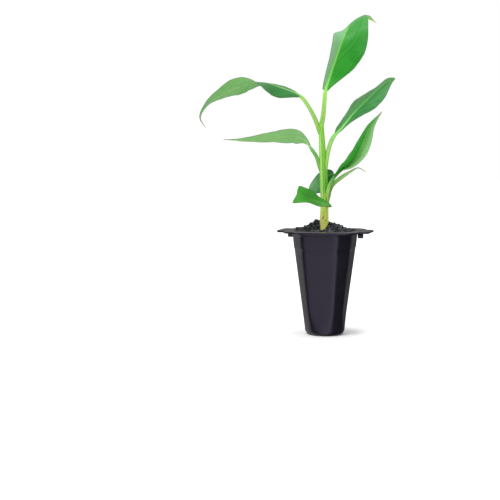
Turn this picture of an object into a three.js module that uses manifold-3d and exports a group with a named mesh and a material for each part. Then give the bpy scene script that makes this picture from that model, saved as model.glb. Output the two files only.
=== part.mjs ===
// A young banana plant in a deep square-topped nursery pot.
// Millimetres, +Z up. The origin is the centre of the pot's flat underside, and -Y is the plant's front.
import * as THREE from "three";
import { mergeVertices } from "three/addons/utils/BufferGeometryUtils.js";
import Module from "manifold-3d";

const wasm = await Module();
wasm.setup();

// Space left between pieces that touch
const gap = 0.3;

// Pot: a deep cell, round at the foot and square with wide chamfers at the rim, under a flat flange
const potHeight = 104.5;
const potTurn = THREE.MathUtils.degToRad(-16);
const footHalf = 19.3;
const sideSlope = 0.1355;
const footRound = 5;
const wall = 1.0;
const floorThick = 1.4;
const wallLevels = [12, 18, 24, 45, 66];
const collarZ = 87;
const collarHeight = 1;
const collarStep = 0.4;
const lipHeight = 4.2;
const lipOut = 0.9;
const lipRise = 0.6;
const flangeThick = 2;
const flangeHalf = 37.5;
const flangeCorner = 17;
const tabReach = 46.2;
const tabHalfWidth = 17.5;
const tabCorner = 4;
const cornerSteps = 6;
const pegSize = [5.6, 3, 5.6];
const pegCentre = 35.6;
const pegSink = 0.1;
const drainHoles = 4;
const drainRadius = 2.5;
const drainCircle = 9;
const drainSides = 12;
const roundSteps = 48;
const footSteps = 3;

// Plan of the cell: how sharp its eight sides meet at the round foot and at the square rim,
// how much further out the corner planes stand than the faces, and where it turns square
const footSharpness = 7;
const rimSharpness = 28;
const cornerOut = 0.13;
const squareFrom = 2;
const squareTo = 24;

// Potting soil: fills the pot and heaps round the plant's foot
const soilBrim = 103.4;
const soilGap = 0.45;
const heaps = [
  { x: -6, y: 4, height: 10.5, wide: 13, deep: 12 },
  { x: 11.5, y: 1, height: 4.6, wide: 10.5, deep: 10 },
  { x: -29.5, y: 2, height: 4, wide: 4, deep: 14 },
];
const heapDip = { x: -6, y: -7, height: 7.5, wide: 6, deep: 6 };
const ripple = { height: 0.5, perX: 0.9, fromX: 1.3, perY: 0.8, fromY: -0.4 };
const soilLeast = 0.2;
const soilFade = 12;
const soilRings = [0.92, 0.8, 0.67, 0.54, 0.41, 0.28, 0.16, 0.06];

// Pseudostem: height, lean to the side and radius, from the flat cut at the soil to the fork
const stemStations = [
  [103.5, -1.7, 5.0],
  [108, -1.1, 4.6],
  [122, -1.0, 4.2],
  [140, -1.2, 3.95],
  [164, -2.2, 3.9],
  [180, -3.1, 3.35],
  [194, -3.9, 2.95],
  [207, -4.9, 2.75],
];
const stemSides = 16;

// Leaves. path runs along the stalk and the midrib, and the blade starts at point bladeFrom.
// stalk is the stalk's radius at its foot and at the blade. root is how broad the left and right
// halves of the blade start, half is the greatest half-breadth, reached at the fraction peak of its
// length, share is the part of it that the two halves have, and rise and fall say how sharply they
// widen and narrow. facing is the side that the upper face looks to before it is turned. roll turns
// it, and left and right lift the two halves out of flat, in degrees, at even steps from base to
// tip. breaks are the fractions where a blade is split.
const front = [0, -1, 0];
const frontAndUp = [0, -0.7, 0.7];
const above = [0, 0, 1];
const leaves = {
  upper_left: {
    path: [
      [-5.4, 0, 200.9], [-10.5, -2, 214.1], [-17.1, -5, 226.2], [-25.7, -8, 236.6],
      [-45.9, -13, 244.9], [-65.5, -17, 249.6], [-84.9, -20, 246], [-102.3, -22, 237.2],
      [-117, -22, 226.2], [-123.1, -21, 215.5], [-118.6, -20, 205.6],
    ],
    bladeFrom: 3, breaks: [0.46], stations: 26, thick: 1.35, stalk: [2.5, 1.75],
    root: [2.6, 2.6], half: 15, share: [1, 1.04], peak: 0.4, rise: 0.7, fall: 1.55,
    facing: front,
    roll: [45, 60, 79, 110, 112, 106, 95],
    left: [10, -36, -12, 12, 18, 28, 40],
    right: [-30, -18, -10, -3, 8, 25, 40],
  },
  top: {
    path: [
      [-4.9, 0, 207.5], [-2.9, 1, 216.6], [-1.3, 3, 233.4], [-0.4, 4, 242.3], [4.1, 6, 257.9],
      [9, 9, 272.1], [16.1, 16, 291.5], [22.5, 24, 304.5], [26.4, 34, 311.6], [33.6, 44, 315.9],
      [44.6, 52, 319.2], [55.5, 57, 314.9],
    ],
    bladeFrom: 3, breaks: [0.67], stations: 24, thick: 1.2, stalk: [2.4, 1.75],
    root: [3.9, 2.6], half: 26, share: [0.45, 0.98], peak: 0.42, rise: 1.15, fall: 1.05,
    facing: frontAndUp,
    roll: [15, 15, 15, 5, -24, -40, -40, -30],
    left: [25, 44, 44, 38, 6, -36, -28, 0],
    right: [30, 0, -10, -10, 0, 5, 10, 20],
  },
  upper_right: {
    path: [
      [-1.2, -1, 162.3], [-0.1, -2, 169.3], [1.5, 0, 179.3], [5, 4, 191.5], [8.6, 7, 198],
      [15.8, 11, 205], [29.3, 20, 220.9], [43, 29, 234.1], [56.5, 35, 246.6], [66.1, 37, 254.5],
      [72.8, 38, 257.2],
    ],
    bladeFrom: 4, breaks: [], stations: 18, thick: 1.2, stalk: [2.2, 1.9],
    root: [4.4, 2.2], half: 14.6, share: [1, 0.96], peak: 0.63, rise: 2.5, fall: 0.75,
    facing: front,
    roll: [-30, -45, -46, -50, -52, -52, -50],
    left: [15, 10, 5, -4, -20, -25, 0],
    right: [40, 5, -12, -18, -18, -12, 0],
  },
  lower_left: {
    path: [
      [-3.6, 0, 162.3], [-6.3, 0, 169.3], [-8.6, 1, 176.9], [-13.5, 3, 184.6], [-20.8, 5, 194],
      [-28.8, 7, 198.2], [-45.2, 10, 197.1], [-63.2, 12, 194.8], [-83.2, 12, 193.5],
      [-101.7, 10, 194.4],
    ],
    bladeFrom: 3, breaks: [0.42], stations: 24, thick: 1.2, stalk: [2.3, 1.8],
    root: [2.2, 3.6], half: 14.2, share: [0.85, 1], peak: 0.27, rise: 3.2, fall: 1.45,
    facing: front,
    roll: [112, 124, 122, 118, 118, 118, 115],
    left: [30, 0, 2, 8, 15, 25, 40],
    right: [30, 0, 2, 8, 15, 25, 40],
  },
  lower_right: {
    path: [
      [-0.3, -1, 127.6], [1.5, -3, 139.4], [3.4, -6, 149.5], [7.2, -9, 156.2], [15, -14, 164.2],
      [23, -20, 170.2], [29.1, -26, 180.4], [33.6, -32, 192.4], [39.2, -37, 205.9],
      [50.5, -41, 220.5],
    ],
    bladeFrom: 3, breaks: [], stations: 20, thick: 1.2, stalk: [1.7, 1.5],
    root: [2, 2], half: 11.5, share: [1.1, 1], peak: 0.42, rise: 1.3, fall: 1.3,
    facing: front,
    roll: [-10, -10, -10, -10, -10, -10],
    left: [60, 58, 60, 68, 72, 70],
    right: [80, 84, 66, 28, 19, 30],
  },
  narrow_right: {
    path: [
      [1.0, 2, 127.6], [3.9, 2, 138], [7, 2, 146.6], [14.4, 0, 154.7], [24.3, -3, 162.2],
      [31.8, -5, 166.3], [39.1, -6, 162.6],
    ],
    bladeFrom: 1, breaks: [], stations: 14, thick: 1.0, stalk: [1.6, 1.2],
    root: [1.5, 1.5], half: 3.6, share: [1, 1], peak: 0.3, rise: 1.0, fall: 2.0,
    facing: front,
    roll: [-60, -45, -35, -30, -30],
    left: [60, 50, 45, 45, 45],
    right: [60, 50, 45, 45, 45],
  },
  small_front: {
    path: [
      [-0.5, -1, 129.5], [4.2, -4.5, 128.8], [4.2, -8.5, 129.5], [-6.3, -12.5, 132.6],
      [-16.3, -16.5, 136.3], [-24.6, -19.5, 139], [-29.1, -18, 140.4], [-28.4, -13.4, 140.8],
      [-23.5, -9.8, 139.5],
    ],
    bladeFrom: 2, breaks: [], stations: 20, thick: 1.0, stalk: [1.7, 1.2],
    root: [1.6, 1.6], half: 9.6, share: [1, 1], peak: 0.72, rise: 1.15, fall: 0.9,
    facing: above,
    roll: [-70, -64, -62, -62, -64, -74, -105],
    left: [45, 10, 25, 30, 5, 0],
    right: [45, 10, 25, 30, 5, 0],
  },
  small_back: {
    path: [
      [-0.8, 1.5, 127.6], [2.9, 6, 138.2], [6.4, 9.2, 149.5], [9, 11, 159.3], [3.2, 12.5, 158.6],
      [-5.2, 13.5, 150.6], [-15.6, 12.5, 141.8],
    ],
    bladeFrom: 3, breaks: [], stations: 13, thick: 1.0, stalk: [1.7, 1.3],
    root: [2, 2], half: 9.8, share: [1.08, 0.88], peak: 0.45, rise: 0.7, fall: 0.62,
    facing: front,
    roll: [10, 22, 25, 25, 20],
    left: [20, 0, -4, -4, 0],
    right: [20, 0, -4, -4, 0],
  },
};
const stalkSides = 10;
const stalkStations = 10;
const arcSteps = 40;
const ribSwell = 1.5;
const ribFade = 0.7;
const ribHalf = 0.16;
const foldTurn = THREE.MathUtils.degToRad(16);
const tipHalf = 0.55;
const across = [-1, -0.55, -ribHalf, 0, ribHalf, 0.55, 1];

const paints = {
  pot: new THREE.MeshStandardMaterial({ color: 0x2b2731, roughness: 0.42, metalness: 0 }),
  soil: new THREE.MeshStandardMaterial({ color: 0x2a2a2c, roughness: 0.95, metalness: 0 }),
  stem: new THREE.MeshStandardMaterial({ color: 0x86c93a, roughness: 0.5, metalness: 0 }),
  stalk: new THREE.MeshStandardMaterial({ color: 0x8fd04a, roughness: 0.5, metalness: 0 }),
  blade: new THREE.MeshStandardMaterial({ color: 0x2f962f, roughness: 0.45, metalness: 0 }),
};

const part = new THREE.Group();

// Adds one sub-part: its geometry under its own name and with its own material.
function addPiece(name, geometry, paint) {
  const mesh = new THREE.Mesh(geometry, paint.clone());
  geometry.computeVertexNormals();
  mesh.name = name;
  part.add(mesh);
}

// Solid geometry as a manifold body, with its shared corners merged.
function bodyOf(geometry) {
  const bare = geometry.index ? geometry : geometry.clone();
  bare.deleteAttribute("normal");
  bare.deleteAttribute("uv");
  const merged = mergeVertices(bare, 1e-4);
  return new wasm.Manifold(
    new wasm.Mesh({
      numProp: 3,
      vertProperties: new Float32Array(merged.attributes.position.array),
      triVerts: new Uint32Array(merged.index.array),
    }),
  );
}

// The geometry of a body, or of its largest piece where a cut leaves loose scraps.
function geometryOf(body) {
  const pieces = body.decompose();
  const largest = pieces.reduce((best, piece) => (piece.volume() > best.volume() ? piece : best));
  const mesh = largest.getMesh();
  const geometry = new THREE.BufferGeometry();
  geometry.setAttribute("position", new THREE.BufferAttribute(new Float32Array(mesh.vertProperties), 3));
  geometry.setIndex([...mesh.triVerts]);
  return geometry;
}

// A closed skin over rings of points, each ring of the same count. caps lists each end's triangles
// as steps round a ring, for a ring whose points turn anticlockwise seen against the direction of travel.
function skin(rings, caps) {
  const count = rings[0].length;
  const positions = rings.flat().flatMap((p) => [p.x, p.y, p.z]);
  const index = [];
  for (let ring = 0; ring < rings.length - 1; ring += 1) {
    for (let i = 0; i < count; i += 1) {
      const a = ring * count + i;
      const b = ring * count + ((i + 1) % count);
      index.push(a, b, b + count, a, b + count, a + count);
    }
  }
  const last = (rings.length - 1) * count;
  for (const [a, b, c] of caps) {
    index.push(c, b, a, last + a, last + b, last + c);
  }
  const geometry = new THREE.BufferGeometry();
  geometry.setAttribute("position", new THREE.Float32BufferAttribute(positions, 3));
  geometry.setIndex(index);
  return geometry;
}

// Cap of a ring that bulges everywhere: a fan from its first point.
function fanCap(count) {
  return Array.from({ length: count - 2 }, (_, i) => [0, i + 1, i + 2]);
}

// Cap of a thin section, whose first half runs one way over the top and whose second half comes back.
function stripCap(count) {
  const half = count / 2;
  const triangles = [];
  for (let i = 0; i < half - 1; i += 1) {
    const j = count - 1 - i;
    triangles.push([i, i + 1, j - 1], [i, j - 1, j]);
  }
  return triangles;
}

// A list of numbers read at the fraction v, along a smooth curve through them at even steps.
function smooth(list, v) {
  const place = Math.min(Math.max(v, 0), 1) * (list.length - 1);
  const i = Math.min(Math.floor(place), list.length - 2);
  const f = place - i;
  const before = list[i - 1] ?? 2 * list[i] - list[i + 1];
  const after = list[i + 2] ?? 2 * list[i + 1] - list[i];
  const slopeIn = (list[i + 1] - before) / 2;
  const slopeOut = (after - list[i]) / 2;
  const rest = list[i + 1] - list[i];
  return list[i] + f * (slopeIn + f * (3 * rest - 2 * slopeIn - slopeOut + f * (slopeIn + slopeOut - 2 * rest)));
}

// A curve through points, read by its length in millimetres.
function arcOf(points) {
  const curve = new THREE.CatmullRomCurve3(points.map((p) => new THREE.Vector3(...p)));
  curve.arcLengthDivisions = arcSteps * (points.length - 1);
  const lengths = curve.getLengths();
  const total = lengths[lengths.length - 1];
  return {
    total,
    knot: (i) => lengths[i * arcSteps],
    at: (s) => curve.getPointAt(Math.min(s / total, 1)),
    along: (s) => curve.getTangentAt(Math.min(s / total, 1)),
  };
}

// The facing direction made square to a limb at s, and the direction across the limb there.
function frameAt(arc, s, facing) {
  const along = arc.along(s);
  const face = new THREE.Vector3(...facing);
  face.addScaledVector(along, -face.dot(along)).normalize();
  const side = new THREE.Vector3().crossVectors(along, face);
  return { face, side };
}

// A round tapering limb along a curve from one length to another.
function limb(arc, from, to, radii, extra = 0) {
  const rings = [];
  for (let k = 0; k <= stalkStations; k += 1) {
    const f = k / stalkStations;
    const s = from + (to - from) * f;
    const { face, side } = frameAt(arc, s, front);
    const centre = arc.at(s);
    const radius = radii[0] + (radii[1] - radii[0]) * f + extra;
    const ring = [];
    for (let i = 0; i < stalkSides; i += 1) {
      const turn = (2 * Math.PI * i) / stalkSides;
      ring.push(
        centre
          .clone()
          .addScaledVector(side, radius * Math.sin(turn))
          .addScaledVector(face, radius * Math.cos(turn)),
      );
    }
    rings.push(ring);
  }
  return skin(rings, fanCap(stalkSides));
}

// Breadth of a blade's left (0) or right (1) half at the fraction v: a sine up from its root to the
// widest place and a cosine down from there.
function halfBreadth(leaf, v, k) {
  const quarter = Math.PI / 2;
  const root = leaf.root[k];
  const most = leaf.half * leaf.share[k];
  if (v < leaf.peak) {
    return root + (most - root) * Math.sin((quarter * v) / leaf.peak) ** leaf.rise;
  }
  const f = (v - leaf.peak) / (1 - leaf.peak);
  return tipHalf + (most - tipHalf) * Math.cos(quarter * Math.min(f, 1)) ** leaf.fall;
}

// A blade between two fractions of its length: two flat halves that meet in a V at a midrib,
// which swells the underside and dies away towards the tip. The blade is thick on the outer
// side of the V, so that the halves never run into each other.
function blade(leaf, arc, from, to) {
  const base = arc.knot(leaf.bladeFrom);
  const length = arc.total - base;
  const steps = Math.max(3, Math.round(leaf.stations * (to - from)));
  const start = base + from * length + gap;
  const end = base + to * length;
  const rings = [];
  for (let k = 0; k <= steps; k += 1) {
    const s = start + ((end - start) * k) / steps;
    const v = (s - base) / length;
    const { face, side } = frameAt(arc, s, leaf.facing);
    const roll = THREE.MathUtils.degToRad(smooth(leaf.roll, v));
    const up = face.clone().multiplyScalar(Math.cos(roll)).addScaledVector(side, Math.sin(roll));
    const out = side.clone().multiplyScalar(Math.cos(roll)).addScaledVector(face, -Math.sin(roll));
    const breadth = [halfBreadth(leaf, v, 0), halfBreadth(leaf, v, 1)];
    const swell = ribSwell * (1 - v) ** ribFade;
    const left = THREE.MathUtils.degToRad(smooth(leaf.left, v));
    const right = THREE.MathUtils.degToRad(smooth(leaf.right, v));
    const over = leaf.thick * THREE.MathUtils.clamp(0.5 - (left + right) / (2 * foldTurn), 0, 1);
    const top = [];
    const bottom = [];
    for (const u of across) {
      const lift = u < 0 ? left : right;
      const reach = u * breadth[u < 0 ? 0 : 1];
      const tilt = u === 0 ? (right - left) / 2 : Math.sign(u) * lift;
      const square = up.clone().multiplyScalar(Math.cos(tilt)).addScaledVector(out, -Math.sin(tilt));
      const point = arc.at(s);
      point.addScaledVector(out, reach * Math.cos(lift));
      point.addScaledVector(up, Math.abs(reach) * Math.sin(lift));
      const under = leaf.thick - over + (u === 0 ? swell : 0);
      top.push(point.clone().addScaledVector(square, over));
      bottom.push(point.clone().addScaledVector(square, -under));
    }
    rings.push([...top, ...bottom.reverse()]);
  }
  return skin(rings, stripCap(2 * across.length));
}

// Distance from the pot's axis to a wall that stands half away at its faces, at an angle in plan:
// a rounded octagon whose corner planes come in to a circle as square goes from 1 to 0.
function cellRadius(half, square, angle) {
  const power = footSharpness + (rimSharpness - footSharpness) * square;
  const corner = half * (1 + cornerOut * square);
  const parts = [0, 1, 2, 3].map((k) => {
    const reach = k % 2 === 0 ? half : corner;
    return Math.abs(Math.cos(angle - (k * Math.PI) / 4) / reach) ** power;
  });
  return parts.reduce((sum, part) => sum + part, 0) ** (-1 / power);
}

// Directions of a ring's points, counted from the middle of one of the cell's faces.
const roundAngles = Array.from({ length: roundSteps }, (_, i) => (2 * Math.PI * i) / roundSteps);

// One ring of the turned cell at a height: half is the distance to its faces.
function cellRing(half, z, square) {
  return roundAngles.map((angle) => {
    const radius = cellRadius(half, square, angle);
    const turned = angle + potTurn;
    return new THREE.Vector3(radius * Math.cos(turned), radius * Math.sin(turned), z);
  });
}

// How square the cell is at a height, along an S-curve, and the distance to its faces there: the
// half-width seen from the front, over how far the same plan of half-width one reaches sideways.
const squareness = (z) => THREE.MathUtils.smoothstep(z, squareFrom, squareTo);
function outerHalf(z) {
  const reach = Math.max(...cellRing(1, 0, squareness(z)).map((p) => p.x));
  return (footHalf + sideSlope * z) / reach;
}

// The outside of the cell: rounded foot, straight tapering sides, small collar and lip under the flange.
function cellOutside() {
  const rings = [];
  for (let k = 0; k <= footSteps; k += 1) {
    const turn = (Math.PI / 2) * (k / footSteps);
    const z = footRound * (1 - Math.cos(turn));
    rings.push(cellRing(outerHalf(footRound) - footRound * (1 - Math.sin(turn)), z, squareness(z)));
  }
  for (const z of [...wallLevels, collarZ]) {
    rings.push(cellRing(outerHalf(z), z, squareness(z)));
  }
  const lipZ = potHeight - lipHeight;
  rings.push(cellRing(outerHalf(collarZ) + collarStep, collarZ + collarHeight, 1));
  rings.push(cellRing(outerHalf(lipZ), lipZ, 1));
  rings.push(cellRing(outerHalf(lipZ) + lipOut, lipZ + lipRise, 1));
  rings.push(cellRing(outerHalf(lipZ) + lipOut, potHeight - flangeThick / 2, 1));
  return skin(rings, fanCap(roundSteps));
}

// Rings up the inside of the cell, drawn in by a margin from the outside's faces.
function wallRings(margin, bottom, top) {
  return [bottom, bottom + footRound, ...wallLevels, collarZ, top].map((z, k) => {
    const round = k === 0 ? footRound / 2 : 0;
    return cellRing(outerHalf(Math.min(z, potHeight)) - margin - round, z, squareness(z));
  });
}

// A rectangle with rounded corners as a plate that stands on the height z.
function plate(halfX, halfY, corner, thick, z) {
  const outline = new THREE.Shape();
  outline.moveTo(halfX, -halfY + corner);
  outline.lineTo(halfX, halfY - corner);
  outline.absarc(halfX - corner, halfY - corner, corner, 0, Math.PI / 2);
  outline.lineTo(-halfX + corner, halfY);
  outline.absarc(-halfX + corner, halfY - corner, corner, Math.PI / 2, Math.PI);
  outline.lineTo(-halfX, -halfY + corner);
  outline.absarc(-halfX + corner, -halfY + corner, corner, Math.PI, 1.5 * Math.PI);
  outline.lineTo(halfX - corner, -halfY);
  outline.absarc(halfX - corner, -halfY + corner, corner, 1.5 * Math.PI, 2 * Math.PI);
  const settings = { depth: thick, bevelEnabled: false, curveSegments: cornerSteps };
  return new THREE.ExtrudeGeometry(outline, settings).translate(0, 0, z);
}

function pot() {
  const flangeZ = potHeight - flangeThick;
  const flange = plate(flangeHalf, flangeHalf, flangeCorner, flangeThick, flangeZ).rotateZ(potTurn);
  const tabs = plate(tabReach, tabHalfWidth, tabCorner, flangeThick, flangeZ).rotateZ(potTurn);
  let body = bodyOf(cellOutside()).add(bodyOf(flange)).add(bodyOf(tabs));
  for (const side of [-1, 1]) {
    const peg = new THREE.BoxGeometry(...pegSize);
    peg.translate(side * pegCentre, 0, flangeZ + pegSink - pegSize[2] / 2).rotateZ(potTurn);
    body = body.add(bodyOf(peg));
  }
  body = body.subtract(bodyOf(skin(wallRings(wall, floorThick, potHeight + 1), fanCap(roundSteps))));
  for (let k = 0; k < drainHoles; k += 1) {
    const angle = (2 * Math.PI * (k + 0.5)) / drainHoles + potTurn;
    const hole = new THREE.CylinderGeometry(drainRadius, drainRadius, 3 * floorThick, drainSides);
    hole.rotateX(Math.PI / 2);
    hole.translate(drainCircle * Math.cos(angle), drainCircle * Math.sin(angle), floorThick / 2);
    body = body.subtract(bodyOf(hole));
  }
  return body;
}

// Height of the soil's surface: heaps, a dip at the front of the stem and a low ripple,
// all of them fading out where the soil meets the pot.
function soilHeight(x, y, inward) {
  const bump = (heap) => {
    const dx = (x - heap.x) / heap.wide;
    const dy = (y - heap.y) / heap.deep;
    return heap.height * Math.exp(-(dx * dx + dy * dy));
  };
  const heaped = heaps.reduce((sum, heap) => sum + bump(heap), 0) - bump(heapDip);
  const wave = Math.sin(ripple.perX * x + ripple.fromX) * Math.cos(ripple.perY * y + ripple.fromY);
  const fade = Math.min(1, soilFade * inward);
  return soilBrim + Math.max(soilLeast, heaped + ripple.height * wave) * fade;
}

function pottingSoil(stem) {
  const margin = wall + soilGap;
  const rings = wallRings(margin, floorThick + gap, soilBrim);
  for (const scale of soilRings) {
    const flat = cellRing((outerHalf(soilBrim) - margin) * scale, soilBrim, scale);
    rings.push(flat.map((p) => p.setZ(soilHeight(p.x, p.y, 1 - scale))));
  }
  return bodyOf(skin(rings, fanCap(roundSteps))).subtract(stem);
}

// The pseudostem, of flat round rings, wider by extra all round and longer by extra at both ends.
function pseudostem(extra = 0) {
  const last = stemStations.length - 1;
  const rings = stemStations.map(([z, x, radius], k) => {
    const height = z + (k === 0 ? -extra : 0) + (k === last ? extra : 0);
    return Array.from({ length: stemSides }, (_, i) => {
      const angle = (2 * Math.PI * i) / stemSides;
      const reach = radius + extra;
      return new THREE.Vector3(x + reach * Math.cos(angle), reach * Math.sin(angle), height);
    });
  });
  return skin(rings, fanCap(stemSides));
}

const stemRoom = bodyOf(pseudostem(gap));
addPiece("pot", geometryOf(pot()), paints.pot);
addPiece("potting_soil", geometryOf(pottingSoil(stemRoom)), paints.soil);
addPiece("pseudostem", pseudostem(), paints.stem);

// Each stalk and blade is cut clear of the stem and of the stalks made before it.
let room = stemRoom;
for (const name of ["top", "upper_left", "upper_right", "lower_left", "lower_right", "narrow_right",
  "small_front", "small_back"]) {
  const leaf = leaves[name];
  const arc = arcOf(leaf.path);
  const base = arc.knot(leaf.bladeFrom);
  const stalk = bodyOf(limb(arc, 0, base, leaf.stalk)).subtract(room);
  addPiece(`stalk_${name}`, geometryOf(stalk), paints.stalk);
  room = room.add(bodyOf(limb(arc, 0, base, leaf.stalk, gap)));
  const cuts = [0, ...leaf.breaks, 1];
  for (let k = 0; k < cuts.length - 1; k += 1) {
    const ending = cuts.length === 2 ? "" : ["_inner", "_outer"][k];
    const body = bodyOf(blade(leaf, arc, cuts[k], cuts[k + 1])).subtract(room);
    addPiece(`blade_${name}${ending}`, geometryOf(body), paints.blade);
  }
}

export default part;
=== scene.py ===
import math

import bpy
import numpy as np
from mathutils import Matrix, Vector


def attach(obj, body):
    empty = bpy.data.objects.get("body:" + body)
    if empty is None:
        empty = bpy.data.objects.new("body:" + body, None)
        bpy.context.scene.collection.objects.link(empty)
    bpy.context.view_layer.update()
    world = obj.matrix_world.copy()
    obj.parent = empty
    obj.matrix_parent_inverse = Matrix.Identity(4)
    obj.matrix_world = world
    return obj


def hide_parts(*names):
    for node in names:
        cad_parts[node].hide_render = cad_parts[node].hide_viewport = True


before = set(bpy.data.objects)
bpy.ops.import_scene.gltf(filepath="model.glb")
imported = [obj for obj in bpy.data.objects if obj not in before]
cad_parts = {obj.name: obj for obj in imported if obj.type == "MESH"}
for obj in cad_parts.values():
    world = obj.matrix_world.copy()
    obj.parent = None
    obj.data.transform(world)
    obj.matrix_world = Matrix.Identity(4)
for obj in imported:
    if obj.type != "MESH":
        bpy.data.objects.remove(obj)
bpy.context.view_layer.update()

mm = 0.001
body = "root"

# Camera: it stands in front of the plant, a little to the left of it and above the soil
camera = {
    "position": (-0.0752, -1.100, 0.1815),
    "target": (-0.0752, 0.0, 0.0845),
    "focalShare": 1104.27 / 500,  # focal length as a share of the picture's width
    "sensor": 36.0,
}


def makeCamera(spec):
    data = bpy.data.cameras.new("camera")
    data.sensor_width = spec["sensor"]
    data.lens = spec["sensor"] * spec["focalShare"]
    data.clip_end = 50
    made = bpy.data.objects.new("camera", data)
    made.location = spec["position"]
    aim = Vector(spec["target"]) - Vector(spec["position"])
    made.rotation_euler = aim.to_track_quat("-Z", "Y").to_euler()
    bpy.context.scene.collection.objects.link(made)
    bpy.context.scene.camera = made


makeCamera(camera)
print("camera placed")


# Shared helpers: colour, nodes and meshes

def linear(hexColour):
    # sRGB hex to linear: the standard curve, with its straight foot below 0.04045
    parts = [int(hexColour[i:i + 2], 16) / 255 for i in (1, 3, 5)]
    turned = [p / 12.92 if p <= 0.04045 else ((p + 0.055) / 1.055) ** 2.4 for p in parts]
    return (*turned, 1.0)


def greyHex(value):
    # A linear brightness as the hex of the grey that shows it
    shown = value * 12.92 if value <= 0.0031308 else 1.055 * value ** (1 / 2.4) - 0.055
    return "#" + f"{round(255 * shown):02X}" * 3


# The output that is meant where it isn't a node's first
meantOutput = {"TexCoord": "Object", "Attribute": "Fac", "Mix": "Result_Color"}


def addNode(tree, kind, settings):
    # One node, given back as its output. A key is a property, or a socket's name, identifier or
    # number, and its value is what it is set to, or the output that feeds it. "stops" are a colour
    # ramp's places and colours, and "output" names the output to give back.
    node = tree.nodes.new("ShaderNode" + kind)
    settings = dict(settings)
    meant = settings.pop("output", meantOutput.get(kind))
    for place, (where, colour) in enumerate(settings.pop("stops", [])):
        stops = node.color_ramp.elements
        stop = stops[place] if place < 2 else stops.new(where)
        stop.position = where
        stop.color = linear(colour)
    for key in [key for key in settings if isinstance(key, str) and hasattr(node, key)]:
        setattr(node, key, settings.pop(key))
    for key, value in settings.items():
        found = [s for s in node.inputs if key in (s.identifier, s.name)] or [node.inputs[key]]
        if isinstance(value, bpy.types.NodeSocket):
            tree.links.new(value, found[0])
        else:
            found[0].default_value = value
    return next((s for s in node.outputs if meant in (None, s.identifier, s.name)), None)


def patternScale(*sizes):
    # Scale of a pattern on Object coordinates, which are metres, whose marks are so many
    # millimetres across: one number, or one for each axis
    scales = tuple(1 / (size * mm) for size in sizes)
    return scales[0] if len(scales) == 1 else scales


def newMaterial(name):
    made = bpy.data.materials.new(name)
    made.use_nodes = True
    made.node_tree.nodes.clear()
    return made, made.node_tree


def putMesh(name, points, quads, tris=(), uvMaps=None, marks=None):
    # Points in millimetres and faces as arrays, put in whole. The faces are turned round where the
    # closed shape's signed volume, the sum of its corner boxes over six, comes out below nothing.
    points = np.asarray(points, float)
    quads = np.asarray(quads, int).reshape(-1, 4)
    tris = np.asarray(tris, int).reshape(-1, 3)
    flat = np.concatenate([quads[:, [0, 1, 2]], quads[:, [0, 2, 3]], tris])
    corner = points[flat]
    volume = np.einsum("ij,ij->i", corner[:, 0], np.cross(corner[:, 1], corner[:, 2])).sum() / 6
    if volume < 0:
        quads = quads[:, ::-1]
        tris = tris[:, ::-1]
    loops = np.concatenate([quads.ravel(), tris.ravel()]).astype(np.int32)
    starts = np.concatenate([
        np.arange(len(quads)) * 4,
        len(quads) * 4 + np.arange(len(tris)) * 3,
    ]).astype(np.int32)
    mesh = bpy.data.meshes.new(name)
    mesh.vertices.add(len(points))
    mesh.vertices.foreach_set("co", (points * mm).ravel())
    mesh.loops.add(len(loops))
    mesh.loops.foreach_set("vertex_index", loops)
    mesh.polygons.add(len(starts))
    mesh.polygons.foreach_set("loop_start", starts)
    mesh.polygons.foreach_set("use_smooth", np.ones(len(starts), bool))
    for key, uv in (uvMaps or {}).items():
        layer = mesh.uv_layers.new(name=key)
        layer.data.foreach_set("uv", np.asarray(uv, float)[loops].ravel())
    for key, values in (marks or {}).items():
        mark = mesh.attributes.new(key, "FLOAT", "POINT")
        mark.data.foreach_set("value", np.asarray(values, float).ravel())
    mesh.update(calc_edges=True)
    made = bpy.data.objects.new(name, mesh)
    bpy.context.scene.collection.objects.link(made)
    return made


def dress(piece, material, slot, *nodes):
    # Gives a piece its material and says which nodes of the frame it stands for; slot is not used
    piece.data.materials.clear()
    piece.data.materials.append(material)
    if nodes:
        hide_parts(*nodes)
    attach(piece, body)


def ringQuads(rows, count, first=0):
    # Quads between neighbouring closed rings of the same count of points
    row, i = np.meshgrid(np.arange(rows - 1), np.arange(count), indexing="ij")
    a = first + row * count + i
    b = first + row * count + (i + 1) % count
    return np.stack([a, b, b + count, a + count], -1).reshape(-1, 4)


def poledTube(rings, first=0):
    # Rings in a row, closed by a fan to the middle of the first and of the last
    rows, count = rings.shape[:2]
    poles = np.stack([rings[0].mean(0), rings[-1].mean(0)])
    points = np.concatenate([rings.reshape(-1, 3), poles])
    i = np.arange(count)
    j = (i + 1) % count
    last = (rows - 1) * count
    near = np.stack([j, i, np.full(count, rows * count)], -1)
    far = np.stack([last + i, last + j, np.full(count, rows * count + 1)], -1)
    return points, ringQuads(rows, count, first), np.concatenate([near, far]) + first


def smooth(values, v):
    # Numbers read along a cubic curve through them at even steps, whose slope at each is half the
    # difference of its neighbours
    values = np.asarray(values, float)
    place = np.clip(v, 0, 1) * (len(values) - 1)
    i = np.minimum(place.astype(int), len(values) - 2)
    f = place - i
    wide = np.concatenate([[2 * values[0] - values[1]], values, [2 * values[-1] - values[-2]]])
    slopeIn = (wide[i + 2] - wide[i]) / 2
    slopeOut = (wide[i + 3] - wide[i + 1]) / 2
    rest = values[i + 1] - values[i]
    bend = 3 * rest - 2 * slopeIn - slopeOut
    return values[i] + f * (slopeIn + f * (bend + f * (slopeIn + slopeOut - 2 * rest)))


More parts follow.
